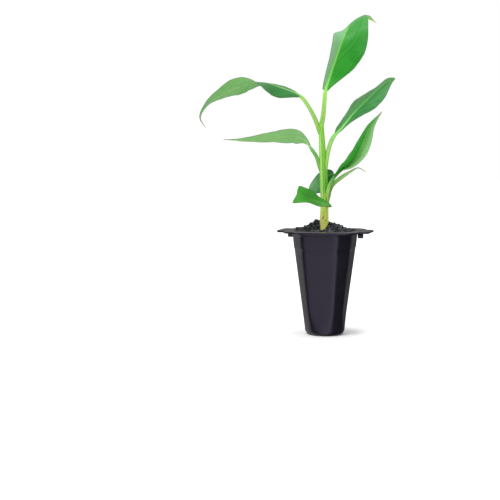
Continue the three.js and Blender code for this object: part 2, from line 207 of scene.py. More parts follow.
def waves(x, y, spacing, seed, count=7):
    # A rolling surface: sines in random directions, at about one spacing, added up to about +-1
    rng = np.random.default_rng(seed)
    turn = rng.uniform(0, 2 * np.pi, count)
    pace = 2 * np.pi / (spacing * rng.uniform(0.7, 1.5, count))
    start = rng.uniform(0, 2 * np.pi, count)
    across = x[..., None] * np.cos(turn) + y[..., None] * np.sin(turn)
    return np.sin(across * pace + start).sum(-1) / math.sqrt(count)


# Pot: a deep cell, round at the foot and square with wide chamfers at the rim, under a flat flange.
# Lengths are millimetres and angles degrees.
pot = {
    "height": 104.5, "turn": -16, "footHalf": 19.3, "sideSlope": 0.1355, "footRound": 5.0,
    "squareFrom": 2, "squareTo": 24,  # heights between which the round foot turns square
    "footSharpness": 7, "rimSharpness": 28, "cornerOut": 0.13,
    "wall": 1.0, "floorThick": 1.4,
    "collarZ": 87, "collarHeight": 1, "collarStep": 0.4,
    "lipHeight": 4.2, "lipOut": 0.9, "lipRise": 0.6,
    "flangeThick": 2.0, "flangeHalf": 37.5, "flangeCorner": 17,
    "tabReach": 46.2, "tabHalfWidth": 17.5, "tabCorner": 4, "edgeRound": 0.4,
    "pegSize": (5.6, 3.0, 5.6), "pegCentre": 35.6, "pegSteps": 32, "pegSharpness": 6,
    "drainHoles": 4, "drainRadius": 2.5, "drainCircle": 9, "drainSteps": 48,
    "steps": 360, "wallLevels": 14, "footLevels": 9,
}
potTurn = math.radians(pot["turn"])
roundAngles = np.linspace(0, 2 * np.pi, pot["steps"], endpoint=False)


def cellRadius(half, square, angle):
    # Distance from the axis to a rounded octagon: the p-norm of how far a direction points at each
    # of its four pairs of sides, sharper and with its corner planes further out as square grows
    power = pot["footSharpness"] + (pot["rimSharpness"] - pot["footSharpness"]) * square
    total = np.zeros_like(angle)
    for k in range(4):
        reach = half if k % 2 == 0 else half * (1 + pot["cornerOut"] * square)
        total += np.abs(np.cos(angle - k * np.pi / 4) / reach) ** power
    return total ** (-1 / power)


def squareness(z):
    # Nought where the cell is round and one where it is square, with an S-curve between
    rise = np.clip((z - pot["squareFrom"]) / (pot["squareTo"] - pot["squareFrom"]), 0, 1)
    return rise * rise * (3 - 2 * rise)


def outerHalf(z):
    # Distance to the faces: the half-width seen from the front, over how far a plan of that
    # squareness and of half-width one reaches sideways when it is turned
    reach = (cellRadius(1, squareness(z), roundAngles) * np.cos(roundAngles + potTurn)).max()
    return (pot["footHalf"] + pot["sideSlope"] * z) / reach


def ringAt(radius, z):
    # A ring of points at one height, at a radius for each angle, turned with the pot
    return np.stack([
        radius * np.cos(roundAngles + potTurn),
        radius * np.sin(roundAngles + potTurn),
        np.full_like(roundAngles, z),
    ], -1)


def cellRing(half, z, square):
    return ringAt(cellRadius(half, square, roundAngles), z)


def roundedBox(halfX, halfY, corner):
    # Distance from the middle to a rectangle with rounded corners: to its flat sides, or to the
    # corner's circle where the direction passes between them
    c, s = np.abs(np.cos(roundAngles)), np.abs(np.sin(roundAngles))
    toX = halfX / np.maximum(c, 1e-9)
    toY = halfY / np.maximum(s, 1e-9)
    along = c * (halfX - corner) + s * (halfY - corner)
    off = (halfX - corner) ** 2 + (halfY - corner) ** 2 - corner ** 2
    onCorner = along + np.sqrt(np.maximum(along ** 2 - off, 0))
    pastX = np.where(toY * c <= halfX - corner, toY, onCorner)
    return np.where(toX * s <= halfY - corner, toX, pastX)


def potRings(p):
    # The whole pot as one profile, from the middle of its underside up the outside, over the
    # flange and down the inside to the middle of its floor. A row gives the distance to the
    # faces, the height and how square the cell is there. Edges are rounded off by rows that stand
    # a few tenths of a millimetre apart.
    foot, top, collarZ, floorZ = p["footRound"], p["height"], p["collarZ"], p["floorThick"]
    footHalf = outerHalf(foot)
    rows = [((footHalf - foot) * share, 0, 0) for share in (0.3, 0.65, 0.9)]
    for turn in np.linspace(0, np.pi / 2, p["footLevels"]):
        z = foot * (1 - math.cos(turn))
        rows.append((footHalf - foot * (1 - math.sin(turn)), z, squareness(z)))
    for z in np.linspace(foot + 3, collarZ, p["wallLevels"]):
        rows.append((outerHalf(z), z, squareness(z)))
    step = outerHalf(collarZ) + p["collarStep"]
    lipZ = top - p["lipHeight"]
    lip = outerHalf(lipZ)
    rim = lip + p["lipOut"]
    flangeZ = top - p["flangeThick"]
    rows += [
        (step - 0.1, collarZ + 0.35, 1), (step, collarZ + p["collarHeight"], 1),
        (lip - 0.2, lipZ - 1.5, 1), (lip, lipZ, 1),
        (lip + p["lipOut"] * 0.8, lipZ + p["lipRise"] * 0.4, 1), (rim, lipZ + p["lipRise"], 1),
        (rim, flangeZ - 0.3, 1), (rim + 0.3, flangeZ, 1),
    ]
    outside = [cellRing(*row) for row in rows]
    square = roundedBox(p["flangeHalf"], p["flangeHalf"], p["flangeCorner"])
    outline = np.maximum(square, roundedBox(p["tabReach"], p["tabHalfWidth"], p["tabCorner"]))
    r = p["edgeRound"]
    edge = [ringAt(outline - inset, z) for inset, z in (
        (r, flangeZ), (0.3 * r, flangeZ + 0.3 * r), (0, flangeZ + r),
        (0, top - r), (0.3 * r, top - 0.3 * r), (r, top),
    )]
    mouth = outerHalf(top) - p["wall"]
    rows = [(mouth + 0.5, top, 1), (mouth + 0.15, top - 0.15, 1), (mouth, top - 0.5, 1)]
    for z in np.linspace(collarZ, floorZ + foot, p["wallLevels"]):
        rows.append((outerHalf(z) - p["wall"], z, squareness(z)))
    inner = outerHalf(floorZ) - p["wall"]
    for turn in np.linspace(0.3, np.pi / 2, 5):
        rows.append((inner - foot * (1 - math.cos(turn)), floorZ + foot * (1 - math.sin(turn)), 0))
    rows.append((inner * 0.4, floorZ, 0))
    return np.stack(outside + edge + [cellRing(*row) for row in rows])


def pegPoints(p, side):
    # A square peg with rounded corners under a tab: a circle brought to the p-norm's square, drawn
    # in a little towards its foot
    x, y, z = p["pegSize"]
    turn = np.linspace(0, 2 * np.pi, p["pegSteps"], endpoint=False)
    plan = np.stack([np.cos(turn), np.sin(turn)], -1)
    power = p["pegSharpness"]
    plan /= (np.abs(plan) ** power).sum(-1, keepdims=True) ** (1 / power)
    top = p["height"] - p["flangeThick"] + 0.1
    rings = [
        np.column_stack([plan * (x / 2 * k, y / 2 * k), np.full(len(plan), top - z * drop)])
        for drop, k in ((0, 1), (0.6, 0.97), (0.93, 0.94), (1, 0.84))
    ]
    rings = np.stack(rings) + (side * p["pegCentre"], 0, 0)
    c, s = math.cos(potTurn), math.sin(potTurn)
    return rings @ np.array([(c, s, 0), (-s, c, 0), (0, 0, 1)])


def drainPoints(p, k):
    # The round rod that cuts one of the drain holes, evenly spaced on a circle
    turn = 2 * np.pi * (k + 0.5) / p["drainHoles"] + potTurn
    centre = (p["drainCircle"] * math.cos(turn), p["drainCircle"] * math.sin(turn), 0)
    angle = np.linspace(0, 2 * np.pi, p["drainSteps"], endpoint=False)
    x, y = p["drainRadius"] * np.cos(angle), p["drainRadius"] * np.sin(angle)
    rings = [np.column_stack([x, y, np.full_like(x, z)]) for z in (-2, 2 + p["floorThick"])]
    return np.stack(rings) + centre


def joinTubes(ringSets):
    # Several tubes as the points, quads and triangles of one mesh
    parts = []
    first = 0
    for rings in ringSets:
        parts.append(poledTube(rings, first))
        first += len(parts[-1][0])
    return [np.concatenate(some) for some in zip(*parts)]


def makePot(p):
    pegs = [pegPoints(p, side)[::-1] for side in (-1, 1)]
    made = putMesh("potShell", *joinTubes([potRings(p), *pegs]))
    drill = putMesh("drill", *joinTubes([drainPoints(p, k) for k in range(p["drainHoles"])]))
    cut = made.modifiers.new("drain holes", "BOOLEAN")
    cut.operation = "DIFFERENCE"
    cut.solver = "EXACT"
    cut.object = drill
    graph = bpy.context.evaluated_depsgraph_get()
    whole = bpy.data.meshes.new_from_object(made.evaluated_get(graph))
    made.modifiers.clear()
    made.data = whole
    bpy.data.objects.remove(drill)
    return made


# Potting soil: fills the pot and heaps round the plant's foot. A heap or dip is its place, height
# and widths, and the roughness is two rolling surfaces of some spacing, seed and share.
soil = {
    "brim": 103.4, "gap": 0.45, "bottom": 1.7, "levels": 14,
    "heaps": [(-6, 4, 10.5, 13, 12), (11.5, 1, 4.6, 10.5, 10), (-29.5, 2, 4, 4, 14)], "fade": 12,
    "dip": (-6, -7, 7.5, 6, 6), "ripple": 0.5, "least": 0.2,
    "steps": 240, "rings": 90,
    "relief": 0.55, "reliefFade": 9, "roughness": [(3.2, 5, 0.6), (1.5, 6, 0.4)],
    "stemAt": -1.7, "keepOff": 5.4,  # loose bits keep this far off the stem's middle
}
# Loose bits on the soil: how many, sizes from and to, seed, how often their balls' faces are split,
# and how deep they sink as a share of their size
loose = {
    "soilCrumbs": {"count": 1500, "sizes": (0.35, 1.3), "seed": 11, "detail": 0, "sink": 0.35},
    "soilLumps": {"count": 170, "sizes": (1.0, 2.1), "seed": 12, "detail": 1, "sink": 0.45},
    "paleGrit": {"count": 60, "sizes": (0.3, 0.65), "seed": 13, "detail": 0, "sink": 0.35},
}
# The least and most that a bit is stretched and its corners dented, how flat it lies, and how much
# more common the small sizes are
bitShape = {"stretch": (0.65, 1.35), "dents": (0.72, 1.25), "flat": 0.75, "crowd": 1.8}
# Fibres of peat: how many, their length and half-thickness in mm, how far they bend in radians, how
# near the wall they reach as a share, and how high they lie and rise over the soil in mm
fibres = {
    "count": 90, "seed": 14, "length": (2.5, 6.5), "bend": 1.2, "reach": 0.9, "steps": 7,
    "thick": 0.2, "tip": 0.06, "above": 0.25, "rise": 1.0,
}


def soilHeight(x, y, inward):
    # Heaps as bell curves, less a dip at the front of the stem, with a low ripple, a sine across
    # times a cosine along, all of them fading out where the soil meets the pot
    def bell(spec):
        atX, atY, height, wide, deep = spec
        return height * np.exp(-(((x - atX) / wide) ** 2 + ((y - atY) / deep) ** 2))

    heaped = sum(bell(heap) for heap in soil["heaps"]) - bell(soil["dip"])
    ripple = soil["ripple"] * np.sin(0.9 * x + 1.3) * np.cos(0.8 * y - 0.4)
    raised = np.maximum(soil["least"], heaped + ripple)
    return soil["brim"] + raised * np.minimum(1, soil["fade"] * inward)


def soilInward(x, y):
    # How far a point lies in from the pot's wall, as a share of the way to the axis
    angle = np.arctan2(y, x) - potTurn
    edge = cellRadius(outerHalf(soil["brim"]) - pot["wall"] - soil["gap"], 1, angle)
    return 1 - np.hypot(x, y) / edge


def soilTop(x, y):
    # The heaped height with the roughness on top, which fades out at the pot's wall
    inward = np.clip(soilInward(x, y), 0, 1)
    rough = sum(waves(x, y, spacing, seed) * share for spacing, seed, share in soil["roughness"])
    fade = np.minimum(1, soil["reliefFade"] * inward)
    return soilHeight(x, y, inward) + soil["relief"] * rough * fade


def makeSoil(spec):
    # The cell's own profile drawn in by the wall, and the rolling top as rings that shrink to the
    # axis
    angle = np.linspace(0, 2 * np.pi, spec["steps"], endpoint=False)
    margin = pot["wall"] + spec["gap"]
    levels = np.linspace(spec["bottom"], spec["brim"], spec["levels"])
    rings = []
    for k, z in enumerate(levels):
        inset = margin + (pot["footRound"] / 2 if k == 0 else 0)
        r = cellRadius(outerHalf(z) - inset, squareness(z), angle - potTurn)
        rings.append(np.stack([r * np.cos(angle), r * np.sin(angle), np.full_like(angle, z)], -1))
    share = np.linspace(0.985, 0.01, spec["rings"])[:, None]
    edge = cellRadius(outerHalf(spec["brim"]) - margin, 1, angle - potTurn)[None, :]
    x, y = share * edge * np.cos(angle), share * edge * np.sin(angle)
    top = np.stack([x, y, soilTop(x, y)], -1)
    rings = np.concatenate([np.stack(rings), top])
    return putMesh("soilMass", *poledTube(rings))


def blob(detail):
    # The corners and faces of a ball of 20 triangles, or of 80 with each of them split in four
    g = (1 + 5 ** 0.5) / 2
    points = np.array([
        (-1, g, 0), (1, g, 0), (-1, -g, 0), (1, -g, 0), (0, -1, g), (0, 1, g),
        (0, -1, -g), (0, 1, -g), (g, 0, -1), (g, 0, 1), (-g, 0, -1), (-g, 0, 1),
    ])
    faces = np.array([
        (0, 11, 5), (0, 5, 1), (0, 1, 7), (0, 7, 10), (0, 10, 11), (1, 5, 9), (5, 11, 4),
        (11, 10, 2), (10, 7, 6), (7, 1, 8), (3, 9, 4), (3, 4, 2), (3, 2, 6), (3, 6, 8),
        (3, 8, 9), (4, 9, 5), (2, 4, 11), (6, 2, 10), (8, 6, 7), (9, 8, 1),
    ])
    for _ in range(detail):
        middles = points[faces] + points[np.roll(faces, -1, axis=1)]
        allPoints = np.concatenate([points[faces], middles], 1).reshape(-1, 3)
        six = np.arange(len(faces) * 6).reshape(-1, 6)
        split = six[:, [[0, 3, 5], [3, 1, 4], [5, 4, 2], [3, 4, 5]]]
        split = split.transpose(1, 0, 2).reshape(-1, 3)
        allPoints /= np.linalg.norm(allPoints, axis=1, keepdims=True)
        points, back = np.unique(allPoints.round(6), axis=0, return_inverse=True)
        faces = back.reshape(-1)[split]
    return points / np.linalg.norm(points, axis=1, keepdims=True), faces


def scatter(count, rng, reach=0.93):
    # Random places over the soil, even by area, kept off the stem. Twice as many are drawn as are
    # needed, to make up for those that fall on it.
    angle = rng.uniform(0, 2 * np.pi, count * 2)
    edge = cellRadius(outerHalf(soil["brim"]) - pot["wall"] - soil["gap"], 1, angle - potTurn)
    r = np.sqrt(rng.uniform(0, 1, count * 2)) * edge * reach
    x, y = r * np.cos(angle), r * np.sin(angle)
    clear = np.hypot(x - soil["stemAt"], y) > soil["keepOff"]
    return x[clear][:count], y[clear][:count]


def makeBits(name, spec):
    # Many balls of few faces, each stretched and turned at random and with its corners pushed in or
    # out, laid on the soil's top and sunk a little into it. Small ones are the more common.
    shape = bitShape
    rng = np.random.default_rng(spec["seed"])
    x, y = scatter(spec["count"], rng)
    count = len(x)
    points, faces = blob(spec["detail"])
    least, most = spec["sizes"]
    size = least * (most / least) ** (rng.uniform(0, 1, count) ** shape["crowd"])
    stretch = rng.uniform(*shape["stretch"], (count, 1, 3)) * (1, 1, shape["flat"])
    dents = rng.uniform(*shape["dents"], (count, len(points), 1))
    turn = np.linalg.qr(rng.normal(size=(count, 3, 3)))[0]
    shaped = np.einsum("nij,nkj->nki", turn, points[None] * dents) * stretch * size[:, None, None]
    place = np.stack([x, y, soilTop(x, y) + size * (shape["flat"] - spec["sink"])], -1)
    allPoints = (shaped + place[:, None]).reshape(-1, 3)
    allFaces = faces[None] + (np.arange(count) * len(points))[:, None, None]
    corners = shaped[:, faces]
    crossed = np.cross(corners[:, :, 1], corners[:, :, 2])
    insideOut = np.einsum("nfi,nfi->nf", corners[:, :, 0], crossed).sum(1) < 0
    allFaces[insideOut] = allFaces[insideOut][:, :, ::-1]
    tone = np.repeat(rng.uniform(0, 1, count), len(points))
    made = putMesh(name, allPoints, (), allFaces.reshape(-1, 3), marks={"tone": tone})
    made.data.polygons.foreach_set("use_smooth", np.zeros(len(made.data.polygons), bool))
    return made


def makeFibres(spec):
    # Short bent threads of peat: four-sided tubes along shallow arcs that lie on the soil
    rng = np.random.default_rng(spec["seed"])
    x, y = scatter(spec["count"], rng, spec["reach"])
    count = len(x)
    heading = rng.uniform(0, 2 * np.pi, (count, 1))
    length = rng.uniform(*spec["length"], (count, 1))
    bend = rng.uniform(-spec["bend"], spec["bend"], (count, 1))
    t = np.linspace(-0.5, 0.5, spec["steps"])[None]
    way = heading + bend * t
    px = x[:, None] + length * t * np.cos(way)
    py = y[:, None] + length * t * np.sin(way)
    pz = soilTop(px, py) + spec["above"] + rng.uniform(0, spec["rise"], (count, 1)) * (t + 0.5)
    centre = np.stack([px, py, pz], -1)
    side = np.stack([-np.sin(way), np.cos(way), np.zeros_like(way)], -1)
    thick = (spec["thick"] * (1 - (2 * t) ** 4) + spec["tip"])[..., None]
    offsets = (side * thick, thick * (0, 0, 1), -side * thick, thick * (0, 0, -1))
    return putMesh("peatFibres", *joinTubes(np.stack([centre + off for off in offsets], 2)))


# Pseudostem: rolled leaf sheaths, one over the other, with an edge that climbs to each leaf
stem = {
    "stations": [
        (103.5, -1.7, 5.0), (108, -1.1, 4.6), (122, -1.0, 4.2), (140, -1.2, 3.95),
        (164, -2.2, 3.9), (180, -3.1, 3.35), (194, -3.9, 2.95), (207, -4.9, 2.75),
    ],
    "steps": 144, "rows": 260, "smoothing": 15,
    # where each sheath's edge stands round the stem in degrees, how far it leans over in the
    # stem's height, where it ends, how high its step is, and how pale its margin is painted: partly
    # the thin margin's own paleness, partly a painted highlight and sheen down the stem's sides
    "sheaths": [
        (-100, 35, 131, 0.28, 0.2), (150, -20, 140, 0.24, 0.6), (-78, 12, 176, 0.30, 0),
        (-60, -30, 158, 0.22, 0), (60, 25, 178, 0.24, 0.5), (-115, 10, 203, 0.20, 1),
        (20, 20, 203, 0.18, 0.8),
    ],
    "sheathFade": 9, "swell": (-0.45, 0.35),  # mm
    "edge": 0.012, "creviceShade": 0.02, "margin": 0.13,  # widths as shares of the way round
    "ribs": 34, "ribDepth": 0.045,
    # how the stem closes between the topmost stalks: shares of its radius and heights
    "crown": ((0.97, 0.7), (0.86, 1.7), (0.62, 2.8), (0.3, 3.5)),
}


def makeStem(spec):
    # Round rings along the leaning axis. Each sheath adds a scroll: its radius grows evenly once
    # round the stem and drops back over the width of its edge, and it fades out towards the
    # sheath's end. Fine ribs are a cosine round the stem that sways with the height.
    table = np.array(spec["stations"], float)
    z = np.linspace(table[0, 0], table[-1, 0], spec["rows"])[:, None]
    centre = np.interp(z, table[:, 0], table[:, 1])
    radius = np.interp(z, table[:, 0], table[:, 2])
    kernel = np.ones(spec["smoothing"]) / spec["smoothing"]
    centre, radius = (
        np.convolve(np.pad(some[:, 0], spec["smoothing"] // 2, "edge"), kernel, "valid")[:, None]
        for some in (centre, radius)
    )
    angle = np.linspace(0, 2 * np.pi, spec["steps"], endpoint=False)[None]
    climb = (z - table[0, 0]) / (table[-1, 0] - table[0, 0])
    swell = np.zeros((spec["rows"], spec["steps"]))
    creviceShade = np.zeros_like(swell)
    margin = np.zeros_like(swell)
    for start, lean, end, step, paleMarginAndSheen in spec["sheaths"]:
        turn = np.mod(angle - np.radians(start + lean * climb), 2 * np.pi) / (2 * np.pi)
        strength = np.clip((end - z) / spec["sheathFade"], 0, 1)
        strength = strength * strength * (3 - 2 * strength)
        edge = np.clip(turn / spec["edge"], 0, 1)
        swell += step * strength * (turn - 0.5 - (1 - edge) * (turn - 1))
        # A darker line just past each edge: painted shade in the crevice under the overlapping
        # sheath
        creviceShade += strength * np.exp(-((turn - spec["edge"] / 2) / spec["creviceShade"]) ** 2)
        # Pale margin just before each edge: partly the sheath's own thin margin, partly painted
        # highlight and sheen on the stem's sides
        margin += paleMarginAndSheen * strength * np.exp(-((1 - turn) / spec["margin"]) ** 2)
    ribs = spec["ribDepth"] * np.cos(spec["ribs"] * angle + 2.0 * np.sin(climb * 9))
    r = radius + np.clip(swell, *spec["swell"]) + ribs * np.minimum(1, 6 * climb + 0.3)
    rings = np.stack([centre + r * np.cos(angle), r * np.sin(angle), z + 0 * angle], -1)
    top = rings[-1].mean(0)
    dome = [top + (rings[-1] - top) * (k, k, 1) + (0, 0, lift) for k, lift in spec["crown"]]
    rings = np.concatenate([rings, np.stack(dome)])
    marks = {key: np.concatenate([mark, np.zeros((len(dome), spec["steps"]))]).ravel()
             for key, mark in (("creviceShade", creviceShade), ("margin", margin))}
    marks = {key: np.append(mark, [0, 0]) for key, mark in marks.items()}
    return putMesh("stemSheaths", *poledTube(rings), marks=marks)


# Leaves, in millimetres and degrees. path runs along the stalk and the midrib, and the blade starts
# at point bladeFrom. stalk is the stalk's radius at its foot and at the blade. root is how broad
# the left and right halves of the blade start, half is the greatest half-breadth, reached at the
# fraction peak of its length, share is the part of it that each half has, rise and fall say how
# sharply they widen and narrow, and taper is how far along the base narrows in to the stalk. facing
# is the side that the upper face looks to before roll turns it, and left and right lift the halves
# out of flat, at even steps from base to tip. The painted sheens, a list for each half, say how far
# the halves of the upper face are painted pale: a painted sheen of light glancing off them, which
# in places also lightens the shaded fold between them. upper and under are each face's darkest and
# lightest green, wax, tip, rib and stalkEnd are the colours of the wax, the dry tip, the midrib and
# the stalk's upper end, and ribGlow is how much of its own green the midrib gives to the blade
# beside it.
front = (0, -1, 0)
frontAndUp = (0, -0.7, 0.7)
above = (0, 0, 1)
leaves = {
    "UpperLeft": {
        "nodes": ("stalk_upper_left", "blade_upper_left_inner", "blade_upper_left_outer"),
        "path": [
            (-5.4, 0, 200.9), (-10.5, -2, 214.1), (-17.1, -5, 226.2), (-25.7, -8, 236.6),
            (-45.9, -13, 244.9), (-65.5, -17, 249.6), (-84.9, -20, 246), (-102.3, -22, 237.2),
            (-117, -22, 226.2), (-123.1, -21, 215.5), (-118.6, -20, 205.6),
        ],
        "bladeFrom": 3, "stalk": (2.5, 1.75), "root": (2.6, 2.6), "half": 15, "share": (1, 1.04),
        "peak": 0.4, "rise": 0.7, "fall": 1.55, "facing": front,
        "roll": [45, 60, 79, 110, 112, 106, 95],
        "left": [10, -36, -17, 10, 18, 28, 40], "right": [-30, -18, -24, -9, 8, 25, 40],
        "paintedSheenLeft": [0.1, 0.1, 0.1, 0.1], "paintedSheenRight": [0.1, 0.1, 0.1, 0.1],
        "upper": ("#17602A", "#267B3A"), "under": ("#5C9C42", "#78AE5E"), "wax": "#6A9A70",
        "tip": "#8FA77C", "ribGlow": 0.25, "taper": 3, "stalkEnd": "#8CC84C", "rib": "#79B066",
    },
    "Top": {
        "nodes": ("stalk_top", "blade_top_inner", "blade_top_outer"),
        "path": [
            (-4.9, 0, 207.5), (-2.9, 1, 216.6), (-1.3, 3, 233.4), (-0.4, 4, 242.3),
            (4.1, 6, 257.9), (9, 9, 272.1), (16.1, 16, 291.5), (22.5, 24, 304.5),
            (26.4, 34, 311.6), (33.6, 44, 315.9), (44.6, 52, 319.2), (55.5, 57, 314.9),
        ],
        "bladeFrom": 3, "stalk": (2.4, 1.75), "root": (3.9, 2.6), "half": 26, "share": (0.4, 0.98),
        "peak": 0.42, "rise": 1.15, "fall": 1.05, "facing": frontAndUp,
        "roll": [15, 15, 15, 5, -24, -40, -40, -30],
        "left": [25, 44, 44, 32, -10, -30, -30, 0], "right": [30, 0, -10, -10, 0, 5, 10, 20],
        "paintedSheenLeft": [0.6, 0.8, 0.85, 0.7, 0.4], "paintedSheenRight": [0, 0, 0.05, 0.2, 0.3],
        "upper": ("#127A0C", "#30932A"), "under": ("#72A874", "#86B486"), "wax": "#84B088",
        "tip": "#9CCB3A", "ribGlow": 0.9, "taper": 1, "stalkEnd": "#8FCF50", "rib": "#7FD060",
    },
    "UpperRight": {
        "nodes": ("stalk_upper_right", "blade_upper_right"),
        "path": [
            (-1.2, -1, 162.3), (-0.1, -2, 169.3), (1.5, 0, 179.3), (5, 4, 191.5), (8.6, 7, 198),
            (15.8, 11, 205), (29.3, 20, 220.9), (43, 29, 234.1), (56.5, 35, 246.6),
            (66.1, 37, 254.5), (72.8, 38, 257.2),
        ],
        "bladeFrom": 4, "stalk": (2.2, 1.9), "root": (4.4, 2.2), "half": 14.6, "share": (1, 0.96),
        "peak": 0.63, "rise": 2.5, "fall": 0.75, "facing": front,
        "roll": [-30, -45, -46, -50, -52, -52, -50],
        "left": [55, 22, -10, -5, -14, -25, 0], "right": [40, 5, -12, -18, -18, -12, 0],
        "paintedSheenLeft": [0.1, 0.15, 0.2, 0.3], "paintedSheenRight": [0.05, 0.05, 0.1, 0.2],
        "upper": ("#176627", "#288036"), "under": ("#6AA45C", "#86BA78"), "wax": "#8CB48E",
        "tip": "#4E8B4A", "ribGlow": 0.6, "taper": 9, "stalkEnd": "#7CBF4E", "rib": "#7CCB62",
    },
    "LowerLeft": {
        "nodes": ("stalk_lower_left", "blade_lower_left_inner", "blade_lower_left_outer"),
        "path": [
            (-3.6, 0, 162.3), (-6.3, 0, 169.3), (-8.6, 1, 176.9), (-13.5, 3, 184.6),
            (-20.8, 5, 194), (-28.8, 7, 198.2), (-45.2, 10, 197.1), (-63.2, 12, 194.8),
            (-83.2, 12, 193.5), (-101.7, 10, 194.4),
        ],
        "bladeFrom": 3, "stalk": (2.3, 1.8), "root": (2.2, 3.6), "half": 14.2, "share": (0.85, 1),
        "peak": 0.27, "rise": 3.2, "fall": 1.45, "facing": front,
        "roll": [112, 124, 122, 118, 118, 118, 115],
        "left": [30, 0, 2, 8, 15, 25, 40], "right": [30, 0, 2, 8, 15, 25, 40],
        "paintedSheenLeft": [0.1, 0.1, 0.1, 0.1], "paintedSheenRight": [0.1, 0.1, 0.1, 0.1],
        "upper": ("#1B6B34", "#2C8746"), "under": ("#62A24A", "#84B868"), "wax": "#7CAC76",
        "tip": "#86A86A", "ribGlow": 0.2, "taper": 8, "stalkEnd": "#4E9640", "rib": "#84B870",
        "stalkColours": {"foot": "#629C36", "stalk": "#5C9A3E"},
    },
    "LowerRight": {
        "nodes": ("stalk_lower_right", "blade_lower_right"),
        "path": [
            (-0.3, -1, 127.6), (1.5, -3, 139.4), (3.4, -6, 149.5), (7.2, -9, 156.2),
            (15, -14, 164.2), (23, -20, 170.2), (29.1, -26, 180.4), (33.6, -32, 192.4),
            (39.2, -37, 205.9), (50.5, -41, 220.5),
        ],
        "bladeFrom": 3, "stalk": (1.7, 1.5), "root": (2, 2), "half": 11.5, "share": (1.1, 1),
        "peak": 0.42, "rise": 1.3, "fall": 1.3, "facing": front,
        "roll": [-10, -10, -10, -10, -10, -10],
        "left": [60, 58, 60, 68, 72, 70], "right": [80, 79, 55, 27, 19, 30],
        "paintedSheenLeft": [0, 0, 0, 0.05, 0.3], "paintedSheenRight": [0.3, 0.8, 0.85, 0.7, 0.6],
        "upper": ("#1F8A28", "#48A43C"), "under": ("#68AC4E", "#84BC6C"), "wax": "#8FBC8A",
        "tip": "#86B061", "ribGlow": 0.1, "taper": 5, "stalkEnd": "#4B9A3C", "rib": "#3F9038",
    },
    "NarrowRight": {
        "nodes": ("stalk_narrow_right", "blade_narrow_right"),
        "path": [
            (1.0, 2, 127.6), (3.9, 2, 138), (7, 2, 146.6), (14.4, 0, 154.7),
            (24.3, -3, 162.2), (31.8, -5, 166.3), (39.1, -6, 162.6),
        ],
        "bladeFrom": 1, "stalk": (1.6, 1.2), "root": (1.5, 1.5), "half": 3.6, "share": (1, 1),
        "peak": 0.3, "rise": 1.0, "fall": 2.0, "facing": front,
        "roll": [-60, -45, -35, -30, -30],
        "left": [60, 50, 45, 45, 45], "right": [60, 50, 45, 45, 45],
        "paintedSheenLeft": [0, 0.2, 0.6, 0.8], "paintedSheenRight": [0, 0.2, 0.6, 0.8],
        "upper": ("#4E8C34", "#7FAE50"), "under": ("#94B86A", "#B4CC8A"), "wax": "#8CB48E",
        "tip": "#B9AE80", "ribGlow": 0.1, "taper": 2, "stalkEnd": "#8DB85C", "rib": "#8DB060",
    },
    "SmallFront": {
        "nodes": ("stalk_small_front", "blade_small_front"),
        "path": [
            (-0.5, -1, 129.5), (4.2, -4.5, 128.8), (4.2, -8.5, 129.5), (-6.3, -12.5, 132.6),
            (-16.3, -16.5, 136.3), (-24.6, -19.5, 139), (-29.1, -18, 140.4), (-28.4, -13.4, 140.8),
            (-23.5, -9.8, 139.5),
        ],
        "bladeFrom": 2, "stalk": (1.7, 1.2), "root": (1.6, 1.6), "half": 9.6, "share": (1, 1),
        "peak": 0.72, "rise": 1.15, "fall": 0.9, "facing": above,
        "roll": [-70, -64, -62, -62, -64, -74, -105],
        "left": [45, 10, 25, 30, 5, 0], "right": [45, 10, 25, 30, 5, 0],
        "paintedSheenLeft": [0.15, 0, 0, 0], "paintedSheenRight": [0.15, 0, 0, 0],
        "upper": ("#2A7D20", "#439229"), "under": ("#6FAE62", "#8EC47E"), "wax": "#8CB48E",
        "tip": "#7E7A45", "ribGlow": 0.05, "taper": 2, "stalkEnd": "#3F8A2C", "rib": "#43922F",
    },
    "SmallBack": {
        "nodes": ("stalk_small_back", "blade_small_back"),
        "path": [
            (-0.8, 1.5, 127.6), (2.9, 6, 138.2), (6.4, 9.2, 149.5), (9, 11, 159.3),
            (3.2, 12.5, 158.6), (-5.2, 13.5, 150.6), (-15.6, 12.5, 141.8),
        ],
        "bladeFrom": 3, "stalk": (1.7, 1.3), "root": (2, 2), "half": 9.8, "share": (1.08, 0.88),
        "peak": 0.45, "rise": 0.7, "fall": 0.62, "facing": front,
        "roll": [10, 22, 25, 25, 20], "left": [20, 0, -4, -4, 0], "right": [20, 0, -4, -4, 0],
        "paintedSheenLeft": [0, 0, 0.1, 0.2], "paintedSheenRight": [0, 0.1, 0.3, 0.4],
        "upper": ("#195F28", "#287534"), "under": ("#6FAE62", "#8EC47E"), "wax": "#8CB48E",
        "tip": "#2F6B3C", "ribGlow": 0.05, "taper": 2, "stalkEnd": "#3C8238", "rib": "#2F7A3C",
    },
}
